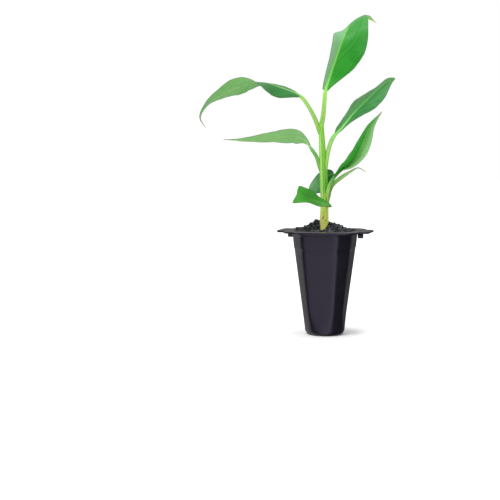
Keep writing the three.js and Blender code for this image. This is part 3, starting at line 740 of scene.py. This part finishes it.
bladeLook = {
    "seed": 40,            # of the first leaf's waves, and each next leaf has the next
    "grid": 0.45,          # mm between the points of a blade along it
    "acrossShare": 0.8,    # points across it, as a share of one for each such step
    "acrossMore": 14,      # and so many more, for the narrowest blades
    "thick": 0.34,         # mm at the midrib
    "tipHalf": 0.3,        # mm, half-breadth at the very tip
    "crease": 1.3,         # mm, how widely the two halves turn into each other, and no more
    "creaseShare": 0.25,   # than this share of the breadth
    "arch": 0.05,          # how far each half bulges, as a share of its breadth
    "wave": 0.018,         # how far the margins wave, as a share of the breadth
    "waveLength": 21,      # mm
    "waveSecond": 0.43,    # length of a second wave of half the height, as a share of the first
    "waveGrowth": 1.7,     # how late across the blade the waves grow towards the margin
    "fullBreadth": 6,      # mm of half-breadth from which arch, waves and veins stand full
    "veinStep": 3.2,       # mm between the side veins that show as pleats
    "veinDepth": 0.06,     # mm
    "veinSlant": 2.2,      # how far a vein runs forward for each mm outward
    "veinCurve": 0.016,    # how much it bends forward with the distance squared
    "baseShare": 0.3,      # how broad the blade starts, as a share of its breadth
    "crowd": 0.35,         # how far the points crowd towards the margins
    "marginThin": 0.45,    # how much thinner the margin is than the midrib
    "mapUnit": 100,        # mm that count as one in the map of the veins
}
# A stalk and its midrib: points round it, mm between its rings, how deep the channel on top is as a
# share of its height, how wide, over how many mm past the base it flattens, and its fine ribs. The
# midrib keeps a share of the stalk's half-width and of its depth below, is broader by some mm and
# rises by some, and is a thread at the tip.
ribLook = {
    "steps": 28, "spacing": 0.9, "channel": 0.42, "channelWidth": 0.42, "fade": 7.0,
    "ribs": 9, "ribDepth": 0.03, "stalkDeep": 1.02, "stalkTall": 0.9,
    "widthKept": 0.22, "depthKept": 0.35, "broader": 0.35, "rise": 0.3,
    "threadHalf": 0.1, "threadDeep": 0.12,
}


def arcOf(points):
    # A centripetal Catmull-Rom curve: between two points, the cubic whose end slopes come from
    # steps of the square root of the distances, sampled finely and read by its length
    points = np.array(points, float)
    spans = len(points) - 1
    wide = np.concatenate([[2 * points[0] - points[1]], points, [2 * points[-1] - points[-2]]])
    fine = 60
    place = np.arange(spans * fine + 1) / fine
    i = np.minimum(place.astype(int), spans - 1)
    w = (place - i)[:, None]
    p0, p1, p2, p3 = (wide[i + k] for k in range(4))
    steps = ((p0, p1), (p1, p2), (p2, p3))
    d0, d1, d2 = (np.linalg.norm(b - a, axis=1)[:, None] ** 0.5 for a, b in steps)
    t1 = ((p1 - p0) / d0 - (p2 - p0) / (d0 + d1) + (p2 - p1) / d1) * d1
    t2 = ((p2 - p1) / d1 - (p3 - p1) / (d1 + d2) + (p3 - p2) / d2) * d1
    curve = p1 + w * (t1 + w * (3 * (p2 - p1) - 2 * t1 - t2 + w * (2 * (p1 - p2) + t1 + t2)))
    length = np.concatenate([[0], np.cumsum(np.linalg.norm(np.diff(curve, axis=0), axis=1))])
    return {"total": length[-1], "knots": length[::fine], "length": length, "curve": curve,
            "slope": np.gradient(curve, length, axis=0)}


def readArc(arc, s):
    # Places and unit directions at lengths s
    place = np.stack([np.interp(s, arc["length"], arc["curve"][:, k]) for k in range(3)], -1)
    along = np.stack([np.interp(s, arc["length"], arc["slope"][:, k]) for k in range(3)], -1)
    return place, along / np.linalg.norm(along, axis=-1, keepdims=True)


def leafFrame(leaf, arc, s):
    # At lengths s: the places, and the directions out to the right half and up from the upper face,
    # turned to share the two halves' lifts evenly, and the fold, the lift that each half then has
    base = arc["knots"][leaf["bladeFrom"]]
    v = np.clip((s - base) / (arc["total"] - base), 0, 1)
    place, along = readArc(arc, s)
    facing = np.array(leaf["facing"], float)
    face = facing - (along @ facing)[:, None] * along
    face /= np.linalg.norm(face, axis=-1, keepdims=True)
    side = np.cross(along, face)
    left = np.radians(smooth(leaf["left"], v))
    right = np.radians(smooth(leaf["right"], v))
    roll = (np.radians(smooth(leaf["roll"], v)) - (right - left) / 2)[:, None]
    up = face * np.cos(roll) + side * np.sin(roll)
    out = side * np.cos(roll) - face * np.sin(roll)
    return place, out, up, (left + right) / 2, v


def halfBreadth(leaf, v, k):
    # Breadth of the left (0) or right (1) half: a sine to the power of rise up from its root to the
    # widest place, and a cosine to the power of fall down from there to the tip
    root = leaf["root"][k]
    most = leaf["half"] * leaf["share"][k]
    widening = np.sin(np.pi / 2 * np.minimum(v / leaf["peak"], 1)) ** leaf["rise"]
    f = np.clip((v - leaf["peak"]) / (1 - leaf["peak"]), 0, 1)
    narrowing = np.maximum(np.cos(np.pi / 2 * f), 0) ** leaf["fall"]
    tip = bladeLook["tipHalf"]
    past = tip + (most - tip) * narrowing
    return np.where(v < leaf["peak"], root + (most - root) * widening, past)


def makeBlade(name, leaf, arc, seed):
    # A thin sheet on a grid from left margin to right by base to tip. At u across and v along, a
    # point lies u half-breadths out, lifted by the fold's sine times a softened |u|, with a bulge
    # 4|u|(1-|u|), a wave that grows to the margin, and pleats that follow the curved side veins.
    look = bladeLook
    rng = np.random.default_rng(seed)
    base = arc["knots"][leaf["bladeFrom"]]
    length = arc["total"] - base
    rows = int(length / look["grid"])
    across = int(leaf["half"] * sum(leaf["share"]) / look["grid"] * look["acrossShare"])
    across += look["acrossMore"]
    s = base + np.linspace(0, 1, rows) * length
    place, out, up, fold, v = leafFrame(leaf, arc, s)
    even = np.linspace(-1, 1, across)
    u = np.sin(even * np.pi / 2) * look["crowd"] + even * (1 - look["crowd"])
    breadth = np.where(u < 0, halfBreadth(leaf, v, 0)[:, None], halfBreadth(leaf, v, 1)[:, None])
    begun = np.clip(v * length / leaf["taper"], 0, 1)[:, None]
    begun = begun * begun * (3 - 2 * begun)
    breadth = breadth * (look["baseShare"] + (1 - look["baseShare"]) * begun)
    reach = u * breadth
    crease = np.minimum(look["crease"], look["creaseShare"] * breadth)
    softened = np.sqrt(reach ** 2 + crease ** 2) - crease
    side = np.abs(u)
    phase = rng.uniform(0, 2 * np.pi, 2)[(u > 0).astype(int)]
    mmAlong = (v * length)[:, None]
    wave = np.sin(2 * np.pi * mmAlong / look["waveLength"] + phase)
    second = look["waveLength"] * look["waveSecond"]
    wave = wave + 0.5 * np.sin(2 * np.pi * mmAlong / second + 2 * phase)
    fromRib = np.abs(reach)
    veins = mmAlong - look["veinSlant"] * fromRib - look["veinCurve"] * fromRib ** 2
    # arch, waves and pleats die away where the blade is narrow and at its tip
    grown = np.clip(breadth / look["fullBreadth"], 0, 1) * np.clip((1 - v[:, None]) * 8, 0, 1)
    height = softened * np.sin(fold)[:, None]
    height = height + look["arch"] * breadth * 4 * side * (1 - side) * grown
    height = height + look["wave"] * breadth * wave * side ** look["waveGrowth"] * grown
    pleat = look["veinDepth"] * np.sin(2 * np.pi * veins / look["veinStep"])
    pleat = pleat * np.clip((fromRib - crease) / 2, 0, 1) * np.clip((1 - side) * 8, 0.2, 1)
    height = height + pleat * grown
    grid = place[:, None] + out[:, None] * (reach * np.cos(fold)[:, None])[..., None]
    grid = grid + up[:, None] * height[..., None]
    normal = np.cross(np.gradient(grid, axis=1), np.gradient(grid, axis=0))
    normal /= np.maximum(np.linalg.norm(normal, axis=-1, keepdims=True), 1e-9)
    normal *= np.sign((normal * up[:, None]).sum(-1).mean())
    thick = look["thick"] / 2 * (1 - look["marginThin"] * side ** 2)
    top = grid + normal * thick[None, :, None]
    under = grid - normal * thick[None, :, None]
    rings = np.concatenate([top, under[:, ::-1]], 1)
    quads = ringQuads(rows, 2 * across)
    i = np.arange(across - 1)
    strip = np.stack([i, i + 1, 2 * across - 2 - i, 2 * across - 1 - i], -1)
    quads = np.concatenate([quads, strip[:, ::-1], strip + (rows - 1) * 2 * across])

    def both(values):
        # A value for each point of the sheet, for its upper and under side alike
        values = np.broadcast_to(values, grid.shape[:2])
        return np.concatenate([values, values[:, ::-1]], 1).ravel()

    # Painted sheen: how much paler each half of the upper face is painted where light glances off
    # it
    paintedSheens = [smooth(leaf[key], v)[:, None] for key in ("paintedSheenLeft", "paintedSheenRight")]
    flat = grid.shape[:2]
    marks = {
        "under": np.concatenate([np.zeros(flat), np.ones(flat)], 1).ravel(),
        "paintedSheen": both(np.where(u < 0, *paintedSheens)),
        "fromMargin": both((1 - side) * breadth),
        "fromRib": both(fromRib),
        "along": both(v[:, None]),
    }
    uv = np.stack([both(veins), both(np.sign(u) * fromRib)], -1) / look["mapUnit"]
    return putMesh(f"blade{name}", rings.reshape(-1, 3), quads, uvMaps={"veins": uv}, marks=marks)


def makeStalk(name, leaf, arc):
    # A stalk and the midrib that it runs on into, as one rounded section carried along the leaf's
    # line: a half ellipse below, and above it a flatter one with a channel pressed in as a bell
    # curve. Past the base its sizes fall off exponentially from the stalk's to the midrib's, which
    # shrink to nearly nothing at the tip.
    look = ribLook
    base = arc["knots"][leaf["bladeFrom"]]
    rows = int(arc["total"] / look["spacing"]) + 8
    s = np.linspace(0, arc["total"], rows)
    place, out, up, _, v = leafFrame(leaf, arc, s)
    grown = np.clip(s / base, 0, 1)
    radius = leaf["stalk"][0] + (leaf["stalk"][1] - leaf["stalk"][0]) * grown
    soon = np.exp(-np.maximum(s - base, 0) / look["fade"])
    left = np.maximum(1 - v, 0)
    late = 1 - soon
    wide = radius * (soon + look["widthKept"] * late) * left ** 0.5
    wide = wide + look["threadHalf"] + look["broader"] * late * left
    deep = radius * look["stalkDeep"] * (soon + look["depthKept"] * late) * left ** 0.7
    deep = deep + look["threadDeep"]
    tall = radius * look["stalkTall"] * soon + late * (look["rise"] * left + look["threadDeep"])
    turn = np.linspace(0, 2 * np.pi, look["steps"], endpoint=False)
    x = wide[:, None] * np.sin(turn)
    channel = look["channel"] * np.exp(-(np.sin(turn) / look["channelWidth"]) ** 2)
    upper = -tall[:, None] * (np.cos(turn) + channel)
    y = np.where(np.cos(turn) > 0, -deep[:, None] * np.cos(turn), upper)
    ribs = 1 + look["ribDepth"] * np.cos(look["ribs"] * turn) * soon[:, None]
    x, y = (x * ribs)[..., None], (y * ribs)[..., None]
    rings = place[:, None] + out[:, None] * x + up[:, None] * y
    marks = {key: np.append(np.repeat(values, look["steps"]), [0, 1])
             for key, values in (("along", v), ("grown", grown))}
    return putMesh(f"stalk{name}", *poledTube(rings), marks=marks)


# Materials

# The wall's two colours and least and most roughness, and in mm its haze, its grain across and down
# the wall, and how high the grain stands
potFinish = {
    "dark": "#110E17", "light": "#16121D", "roughness": (0.24, 0.36),
    "haze": 22.22, "grain": (1.111, 1.111, 16.67), "grainHeight": 0.08,
}


def mouldedPolypropylene(spec):
    # Black polypropylene, thermoformed: satin, nearly black with a violet cast, so that its faces
    # mostly show what they reflect, with a faint haze of handling and a fine moulded grain that is
    # drawn down the wall
    made, tree = newMaterial("moulded polypropylene")
    place = addNode(tree, "TexCoord", {})
    haze = addNode(tree, "TexNoise", {
        "Vector": place, "Scale": patternScale(spec["haze"]), "Detail": 5, "Roughness": 0.6})
    drawn = addNode(tree, "Mapping", {"Vector": place, "Scale": patternScale(*spec["grain"])})
    flow = addNode(tree, "TexNoise", {"Vector": drawn, "Scale": 1, "Detail": 3})
    colour = addNode(tree, "ValToRGB", {
        "Fac": haze, "stops": [(0.3, spec["dark"]), (0.75, spec["light"])]})
    least, most = spec["roughness"]
    rough = addNode(tree, "MapRange", {
        "Value": haze, "From Min": 0.3, "From Max": 0.7, "To Min": least, "To Max": most})
    grain = addNode(tree, "Bump", {
        "Height": flow, "Strength": 0.12, "Distance": spec["grainHeight"] * mm})
    shader = addNode(tree, "BsdfPrincipled", {
        "Base Color": colour, "Roughness": rough, "Normal": grain, "IOR": 1.49})
    addNode(tree, "OutputMaterial", {"Surface": shader})
    return made


# The darkest and lightest colour of each kind of peat, its lumps and grit in mm, and how far a
# bit's own tone, from 0 to 1, moves it between those colours
peatColours = {
    "mix": ("#121317", "#505156"),
    "crumbs": ("#131418", "#66686C"),
    "fibre": ("#2A2119", "#5A4632"),
}
peatLook = {
    "lumps": 2.381, "grit": 0.6667, "gritHeight": 0.4, "toneShare": 0.55, "toneShift": -0.27,
}


def moistPeat(name, colours, toneMark=None):
    # Moist peat mix: crumbly, charcoal black with brown where it has dried, and quite without
    # gloss. Bits with a tone mark are each a little darker or lighter than the next.
    made, tree = newMaterial(name)
    place = addNode(tree, "TexCoord", {})
    source = addNode(tree, "TexNoise", {
        "Vector": place, "Scale": patternScale(peatLook["lumps"]), "Detail": 6, "Roughness": 0.65})
    if toneMark:
        tone = addNode(tree, "Attribute", {"attribute_name": toneMark})
        shift = addNode(tree, "Math", {
            "operation": "MULTIPLY_ADD", 0: tone, 1: peatLook["toneShare"],
            2: peatLook["toneShift"]})
        source = addNode(tree, "Math", {"operation": "ADD", 0: shift, 1: source})
    dark, light = colours
    colour = addNode(tree, "ValToRGB", {"Fac": source, "stops": [(0.32, dark), (0.78, light)]})
    grit = addNode(tree, "TexNoise", {
        "Vector": place, "Scale": patternScale(peatLook["grit"]), "Detail": 3})
    bump = addNode(tree, "Bump", {
        "Height": grit, "Strength": 0.7, "Distance": peatLook["gritHeight"] * mm})
    shader = addNode(tree, "BsdfPrincipled", {
        "Base Color": colour, "Normal": bump, "Roughness": 0.88, "IOR": 1.4,
        "Specular IOR Level": 0.3})
    addNode(tree, "OutputMaterial", {"Surface": shader})
    return made


perlite = {"dusty": "#6B655A", "clean": "#C9C4B6", "dust": 1.111}  # dust in mm


def perliteGrit(spec):
    # Bits of perlite and pale wood fibre: chalky off-white, dusted with peat
    made, tree = newMaterial("expanded perlite")
    place = addNode(tree, "TexCoord", {})
    dust = addNode(tree, "TexNoise", {
        "Vector": place, "Scale": patternScale(spec["dust"]), "Detail": 4})
    colour = addNode(tree, "ValToRGB", {
        "Fac": dust, "stops": [(0.35, spec["dusty"]), (0.7, spec["clean"])]})
    shader = addNode(tree, "BsdfPrincipled", {"Base Color": colour, "Roughness": 0.9})
    addNode(tree, "OutputMaterial", {"Surface": shader})
    return made


# What stem and stalks share: light goes a little way into their juicy flesh
livingFlesh = {
    "IOR": 1.42, "Subsurface Weight": 0.2, "Subsurface Radius": (0.6, 1.0, 0.25),
}
# Colours from the soil upwards between the two heights of reach, and sizes in mm
sheathLook = {
    # foot is the sheath's own yellow near the soil, painted lighter to make up for the shade that
    # the leaves above cast on it
    "foot": "#E0E070", "low": "#C9DC60", "middle": "#5CA224", "high": "#7AB83C",
    # The darker green of the line under each overlap is painted shade
    "creviceShade": "#458F1A", "light": "#A8CE70", "speck": "#6B4A1E", "reach": (103, 208),
    "fibres": (0.9091, 0.9091, 25), "fibreHeight": 0.1, "specks": 3.03, "glowDepth": 2,
}


def leafSheath(spec):
    # Living leaf sheath: smooth, faintly ribbed and a little waxy, lime green above and yellower
    # towards the soil, with small brown specks at the foot. Its pale margins are partly the
    # sheaths' own and partly painted highlight and sheen down the stem's sides, the darker line
    # under each overlap is painted shade, and the foot is painted lighter where the leaves above
    # shade it
    made, tree = newMaterial("living leaf sheath")
    place = addNode(tree, "TexCoord", {})
    z = addNode(tree, "SeparateXYZ", {"Vector": place, "output": "Z"})
    foot, top = spec["reach"]
    height = addNode(tree, "MapRange", {"Value": z, "From Min": foot * mm, "From Max": top * mm})
    stretched = addNode(tree, "Mapping", {"Vector": place, "Scale": patternScale(*spec["fibres"])})
    fibre = addNode(tree, "TexNoise", {"Vector": stretched, "Scale": 1, "Detail": 4})
    shifted = addNode(tree, "Math", {"operation": "MULTIPLY_ADD", 0: fibre, 1: 0.16, 2: height})
    green = addNode(tree, "ValToRGB", {"Fac": shifted, "stops": [
        (0.12, spec["foot"]), (0.3, spec["low"]), (0.46, spec["middle"]), (1.0, spec["high"])]})
    aboveFoot = addNode(tree, "MapRange", {"Value": height, "From Min": 0.12, "From Max": 0.34})
    # The line under each overlap is painted shade
    # The margin mark lays on the pale colour, partly the margins' own and partly painted highlight
    for mark, share, tint in (("margin", 0.7, "light"), ("creviceShade", 0.75, "creviceShade")):
        near = addNode(tree, "Attribute", {"attribute_name": mark})
        near = addNode(tree, "Math", {
            "operation": "MULTIPLY", "use_clamp": True, 0: near, 1: share})
        near = addNode(tree, "Math", {"operation": "MULTIPLY", 0: near, 1: aboveFoot})
        green = addNode(tree, "Mix", {
            "data_type": "RGBA", "Factor_Float": near, "A_Color": green,
            "B_Color": linear(spec[tint])})
    pale = addNode(tree, "MapRange", {
        "Value": fibre, "From Min": 0.52, "From Max": 0.78, "To Max": 0.3})
    spots = addNode(tree, "TexNoise", {
        "Vector": place, "Scale": patternScale(spec["specks"]), "Detail": 2})
    some = addNode(tree, "MapRange", {"Value": spots, "From Min": 0.66, "From Max": 0.72})
    low = addNode(tree, "MapRange", {"Value": height, "From Min": 0.26, "From Max": 0.12})
    speck = addNode(tree, "Math", {"operation": "MULTIPLY", 0: some, 1: low})
    for share, tint in ((pale, "light"), (speck, "speck")):
        green = addNode(tree, "Mix", {
            "data_type": "RGBA", "Factor_Float": share, "A_Color": green,
            "B_Color": linear(spec[tint])})
    bump = addNode(tree, "Bump", {
        "Height": fibre, "Strength": 0.35, "Distance": spec["fibreHeight"] * mm})
    shader = addNode(tree, "BsdfPrincipled", {
        **livingFlesh, "Base Color": green, "Normal": bump, "Roughness": 0.42,
        "Subsurface Scale": spec["glowDepth"] * mm})
    addNode(tree, "OutputMaterial", {"Surface": shader})
    return made


# Clouds and the depth that light reaches in mm
stalkLook = {
    "foot": "#78B03E", "stalk": "#8CBC58", "cloud": "#C6EA88", "clouds": 3.846, "glowDepth": 1.5,
}


def leafStalk(name, leaf, spec):
    # Living leaf stalk and midrib: smooth, juicy lime green, paler than the blade, softly clouded.
    # The mean of its two marks runs from 0 at the foot, by 0.5 where the blade starts, to 1 at
    # the tip.
    made, tree = newMaterial(f"living leaf stalk {name}")
    spec = {**spec, **leaf.get("stalkColours", {})}
    place = addNode(tree, "TexCoord", {})
    grown, along = (
        addNode(tree, "Attribute", {"attribute_name": key}) for key in ("grown", "along"))
    both = addNode(tree, "Math", {"operation": "ADD", 0: grown, 1: along})
    half = addNode(tree, "Math", {"operation": "MULTIPLY", 0: both, 1: 0.5})
    green = addNode(tree, "ValToRGB", {"Fac": half, "stops": [
        (0.0, spec["foot"]), (0.28, spec["stalk"]), (0.47, leaf["stalkEnd"]), (0.54, leaf["rib"]),
        (1.0, leaf["tip"])]})
    clouds = addNode(tree, "TexNoise", {
        "Vector": place, "Scale": patternScale(spec["clouds"]), "Detail": 4})
    shade = addNode(tree, "MapRange", {
        "Value": clouds, "From Min": 0.35, "From Max": 0.75, "To Max": 0.12})
    mixed = addNode(tree, "Mix", {
        "data_type": "RGBA", "Factor_Float": shade, "A_Color": green,
        "B_Color": linear(spec["cloud"])})
    shader = addNode(tree, "BsdfPrincipled", {
        **livingFlesh, "Base Color": mixed, "Roughness": 0.4,
        "Subsurface Scale": spec["glowDepth"] * mm})
    addNode(tree, "OutputMaterial", {"Surface": shader})
    return made


# What all blades share: the colours of the midrib's glow and of the dry margin, clouds in mm, and
# the patterns on the veins' map in mm along and across it. The wax on a pale face lies thickest
# along its margins and in long bands: its greatest share in either, and how far in it fades in mm.
bladeColours = {
    "rib": "#6FC04E", "margin": "#4C4A3A", "clouds": 18.18,
    "streaks": (3.571, 38.46), "fineStreaks": (1.613, 25), "bands": (83.33, 6.667),
    "waxShare": 0.55, "waxFrom": 0.6, "waxTo": 5.0, "bandShare": 0.6, "veinHeight": 0.1,
}


def leafBlade(name, leaf, spec):
    # Living banana leaf: thin, satin and a little waxy, darker above and pale and matt below, with
    # streaks along the fine side veins, a purple-brown margin and a dry thread at the tip
    made, tree = newMaterial(f"living banana leaf {name}")
    veins = addNode(tree, "UVMap", {"uv_map": "veins"})
    place = addNode(tree, "TexCoord", {})
    marks = {key: addNode(tree, "Attribute", {"attribute_name": key})
             for key in ("under", "paintedSheen", "fromMargin", "fromRib", "along")}
    drawn = {}
    for key, detail in (("streaks", 2), ("fineStreaks", 1), ("bands", 1)):
        first, second = (bladeLook["mapUnit"] / size for size in spec[key])
        scaled = addNode(tree, "Mapping", {"Vector": veins, "Scale": (first, second, 1)})
        drawn[key] = addNode(tree, "TexNoise", {"Vector": scaled, "Scale": 1, "Detail": detail})
    cloud = addNode(tree, "TexNoise", {
        "Vector": place, "Scale": patternScale(spec["clouds"]), "Detail": 2})
    cloud = addNode(tree, "Math", {"operation": "MULTIPLY", 0: cloud, 1: 0.24})
    streak = addNode(tree, "Math", {
        "operation": "ADD", 0: drawn["streaks"], 1: drawn["fineStreaks"]})
    streak = addNode(tree, "Math", {"operation": "MULTIPLY_ADD", 0: streak, 1: 0.38, 2: cloud})
    upper = addNode(tree, "ValToRGB", {
        "Fac": streak, "stops": list(zip((0.34, 0.66), leaf["upper"]))})
    under = addNode(tree, "ValToRGB", {
        "Fac": streak, "stops": list(zip((0.36, 0.64), leaf["under"]))})
    # Pale is the underside's own colour, and on the upper face the painted sheen
    pale = addNode(tree, "Math", {"operation": "MAXIMUM", 0: marks["under"], 1: marks["paintedSheen"]})
    face = addNode(tree, "Mix", {
        "data_type": "RGBA", "Factor_Float": pale, "A_Color": upper, "B_Color": under})
    atMargin = addNode(tree, "MapRange", {
        "Value": marks["fromMargin"], "From Min": spec["waxFrom"], "From Max": spec["waxTo"],
        "To Min": spec["waxShare"], "To Max": 0.0})
    inBand = addNode(tree, "MapRange", {
        "Value": drawn["bands"], "From Min": 0.42, "From Max": 0.62, "To Max": spec["bandShare"]})
    either = addNode(tree, "Math", {"operation": "MAXIMUM", 0: atMargin, 1: inBand})
    # On the upper face the wax lies over the painted sheen and pales it further
    wax = addNode(tree, "Math", {"operation": "MULTIPLY", 0: either, 1: pale})
    # The midrib's glow spreads less and less far towards the tip
    left = addNode(tree, "Math", {"operation": "SUBTRACT", 0: 1.15, 1: marks["along"]})
    spread = addNode(tree, "Math", {"operation": "DIVIDE", 0: marks["fromRib"], 1: left})
    nearRib = addNode(tree, "MapRange", {
        "Value": spread, "From Min": 0.5, "From Max": 2.2,
        "To Min": leaf["ribGlow"], "To Max": 0.0})
    tip = addNode(tree, "MapRange", {"Value": marks["along"], "From Min": 0.86, "From Max": 0.97})
    rim = addNode(tree, "MapRange", {
        "Value": marks["fromMargin"], "From Min": 0.25, "From Max": 0.75,
        "To Min": 0.7, "To Max": 0.0})
    layers = ((wax, leaf["wax"]), (nearRib, spec["rib"]), (tip, leaf["tip"]), (rim, spec["margin"]))
    for share, colour in layers:
        face = addNode(tree, "Mix", {
            "data_type": "RGBA", "Factor_Float": share, "A_Color": face, "B_Color": linear(colour)})
    rough = addNode(tree, "MapRange", {"Value": pale, "To Min": 0.4, "To Max": 0.6})
    bump = addNode(tree, "Bump", {
        "Height": streak, "Strength": 0.3, "Distance": spec["veinHeight"] * mm})
    shader = addNode(tree, "BsdfPrincipled", {
        "Base Color": face, "Roughness": rough, "Normal": bump, "IOR": 1.42,
        "Specular IOR Level": 0.28})
    addNode(tree, "OutputMaterial", {"Surface": shader})
    return made


# Putting the plant together
dress(makePot(pot), mouldedPolypropylene(potFinish), "pot", "pot")
print("pot made")
dress(makeSoil(soil), moistPeat("moist peat mix", peatColours["mix"]), "soil", "potting_soil")
crumbPeat = moistPeat("moist peat crumbs", peatColours["crumbs"], "tone")
bitMaterials = {"soilCrumbs": crumbPeat, "soilLumps": crumbPeat, "paleGrit": perliteGrit(perlite)}
for name, bits in loose.items():
    dress(makeBits(name, bits), bitMaterials[name], "soil")
dress(makeFibres(fibres), moistPeat("peat fibre", peatColours["fibre"]), "soil")
print("soil made")
dress(makeStem(stem), leafSheath(sheathLook), "stem", "pseudostem")
print("pseudostem made")
for seed, (name, leaf) in enumerate(leaves.items(), bladeLook["seed"]):
    arc = arcOf(leaf["path"])
    stalkNode, *bladeNodes = leaf["nodes"]
    dress(makeStalk(name, leaf, arc), leafStalk(name, leaf, stalkLook), "stalk", stalkNode)
    blade = makeBlade(name, leaf, arc, seed)
    dress(blade, leafBlade(name, leaf, bladeColours), "leaf", *bladeNodes)
print("leaves made")


# Floor, light and surroundings: a white paper floor under a bright, even sky. What glossy faces see
# below the horizon is bright in front and dark to both sides, as of a photographer's black flags.
studio = {
    "floorHalf": 6.0, "floorZ": -0.00002, "floorColour": "#F7F7F7",
    # the paper glows from glowFrom to glowTo metres out, so that only the pot's foot casts a shade
    "glow": 0.33, "glowFrom": 0.032, "glowTo": 0.052,
    # brightness of the sky that lights matt faces, by the sine of its height
    "soft": [(0.0, 0.7), (0.5, 0.8), (1.0, 1.0)],
    # brightness of the sky that glossy faces show
    "above": [(0.0, 0.05), (0.12, 0.08), (0.3, 0.6), (0.6, 1.15), (1.0, 1.2)],
    # brightness below the horizon, by the way that it faces: degrees round from the front
    "below": [(-180, 0.2), (-128, 0.8), (-104, 0.8), (-90, 0.03), (-58, 0.03), (-44, 0.6),
              (0, 1.05), (34, 1.05), (46, 0.03), (120, 0.03), (150, 0.15), (180, 0.2)],
    # violet cast of what stands in front, and how far forward a direction points as it sets in
    "frontTint": (1.0, 0.9, 1.3), "front": (0.35, 0.6),
    # where above takes over from below, by the sine of the height, and the brightest of them all
    "horizon": (-0.03, 0.08), "whitest": 1.25,
    "keyPosition": (-0.75, -0.9, 1.7), "keyAim": (0, 0, 0.18), "keySize": 0.9, "keyPower": 22.0,
}


def makeFloor(spec):
    # One flat square of matt paper, just under the pot, that glows more and more away from the
    # pot's
    # foot: painted light that keeps the floor white and leaves only a tight shadow at the foot
    half, z = spec["floorHalf"] / mm, spec["floorZ"] / mm
    signs = ((-1, -1), (1, -1), (1, 1), (-1, 1))
    floor = putMesh("floor", [(half * x, half * y, z) for x, y in signs], [(0, 1, 2, 3)])
    made, tree = newMaterial("glowing white studio paper")
    place = addNode(tree, "TexCoord", {})
    away = addNode(tree, "VectorMath", {"operation": "LENGTH", 0: place, "output": "Value"})
    glow = addNode(tree, "MapRange", {
        "Value": away, "From Min": spec["glowFrom"], "From Max": spec["glowTo"],
        "To Max": spec["glow"]})
    shader = addNode(tree, "BsdfPrincipled", {
        "Base Color": linear(spec["floorColour"]), "Roughness": 0.9, "Specular IOR Level": 0.1,
        "Emission Color": (1, 1, 1, 1), "Emission Strength": glow})
    addNode(tree, "OutputMaterial", {"Surface": shader})
    floor.data.materials.append(made)
    floor.visible_glossy = False


def makeSky(spec):
    # The surroundings by direction: a plain soft sky for matt faces, a darker one with flags for
    # glossy faces, and white for the camera
    world = bpy.data.worlds.new("studio")
    bpy.context.scene.world = world
    world.use_nodes = True
    tree = world.node_tree
    tree.nodes.clear()
    way = addNode(tree, "TexCoord", {"output": "Generated"})
    x, y, z = (addNode(tree, "SeparateXYZ", {"Vector": way, "output": axis}) for axis in "XYZ")
    forward = addNode(tree, "Math", {"operation": "MULTIPLY", 0: y, 1: -1.0})
    azimuth = addNode(tree, "Math", {"operation": "ARCTAN2", 0: x, 1: forward})
    turn = addNode(tree, "MapRange", {"Value": azimuth, "From Min": -math.pi, "From Max": math.pi})
    shades = {key: [(where, greyHex(value / spec["whitest"])) for where, value in spec[key]]
              for key in ("below", "above", "soft")}
    shades["below"] = [((where + 180) / 360, shade) for where, shade in shades["below"]]
    below, sky, soft = (
        addNode(tree, "ValToRGB", {"Fac": source, "stops": shades[key]})
        for key, source in (("below", turn), ("above", z), ("soft", z)))
    tinted = addNode(tree, "VectorMath", {"operation": "MULTIPLY", 0: below, 1: spec["frontTint"]})
    inFront, overHorizon = (
        addNode(tree, "MapRange", {"Value": value, "From Min": least, "From Max": most})
        for value, (least, most) in ((forward, spec["front"]), (z, spec["horizon"])))
    below = addNode(tree, "Mix", {
        "data_type": "RGBA", "Factor_Float": inFront, "A_Color": below, "B_Color": tinted})
    shown = addNode(tree, "Mix", {
        "data_type": "RGBA", "Factor_Float": overHorizon, "A_Color": below, "B_Color": sky})
    matt = addNode(tree, "LightPath", {"output": "Is Diffuse Ray"})
    lit = addNode(tree, "Mix", {
        "data_type": "RGBA", "Factor_Float": matt, "A_Color": shown, "B_Color": soft})
    scaled = addNode(tree, "VectorMath", {"operation": "SCALE", 0: lit, "Scale": spec["whitest"]})
    toCamera = addNode(tree, "LightPath", {"output": "Is Camera Ray"})
    seen = addNode(tree, "Mix", {
        "data_type": "RGBA", "Factor_Float": toCamera, "A_Color": scaled, "B_Color": (1, 1, 1, 1)})
    glow = addNode(tree, "Background", {"Color": seen})
    addNode(tree, "OutputWorld", {"Surface": glow})


def makeKeyLight(spec):
    data = bpy.data.lights.new("key", "AREA")
    data.size = spec["keySize"]
    data.energy = spec["keyPower"]
    key = bpy.data.objects.new("key", data)
    key.location = spec["keyPosition"]
    aim = Vector(spec["keyAim"]) - key.location
    key.rotation_euler = aim.to_track_quat("-Z", "Y").to_euler()
    bpy.context.scene.collection.objects.link(key)


makeFloor(studio)
makeSky(studio)
makeKeyLight(studio)
bpy.context.scene.view_settings.view_transform = "Standard"
print("studio made")
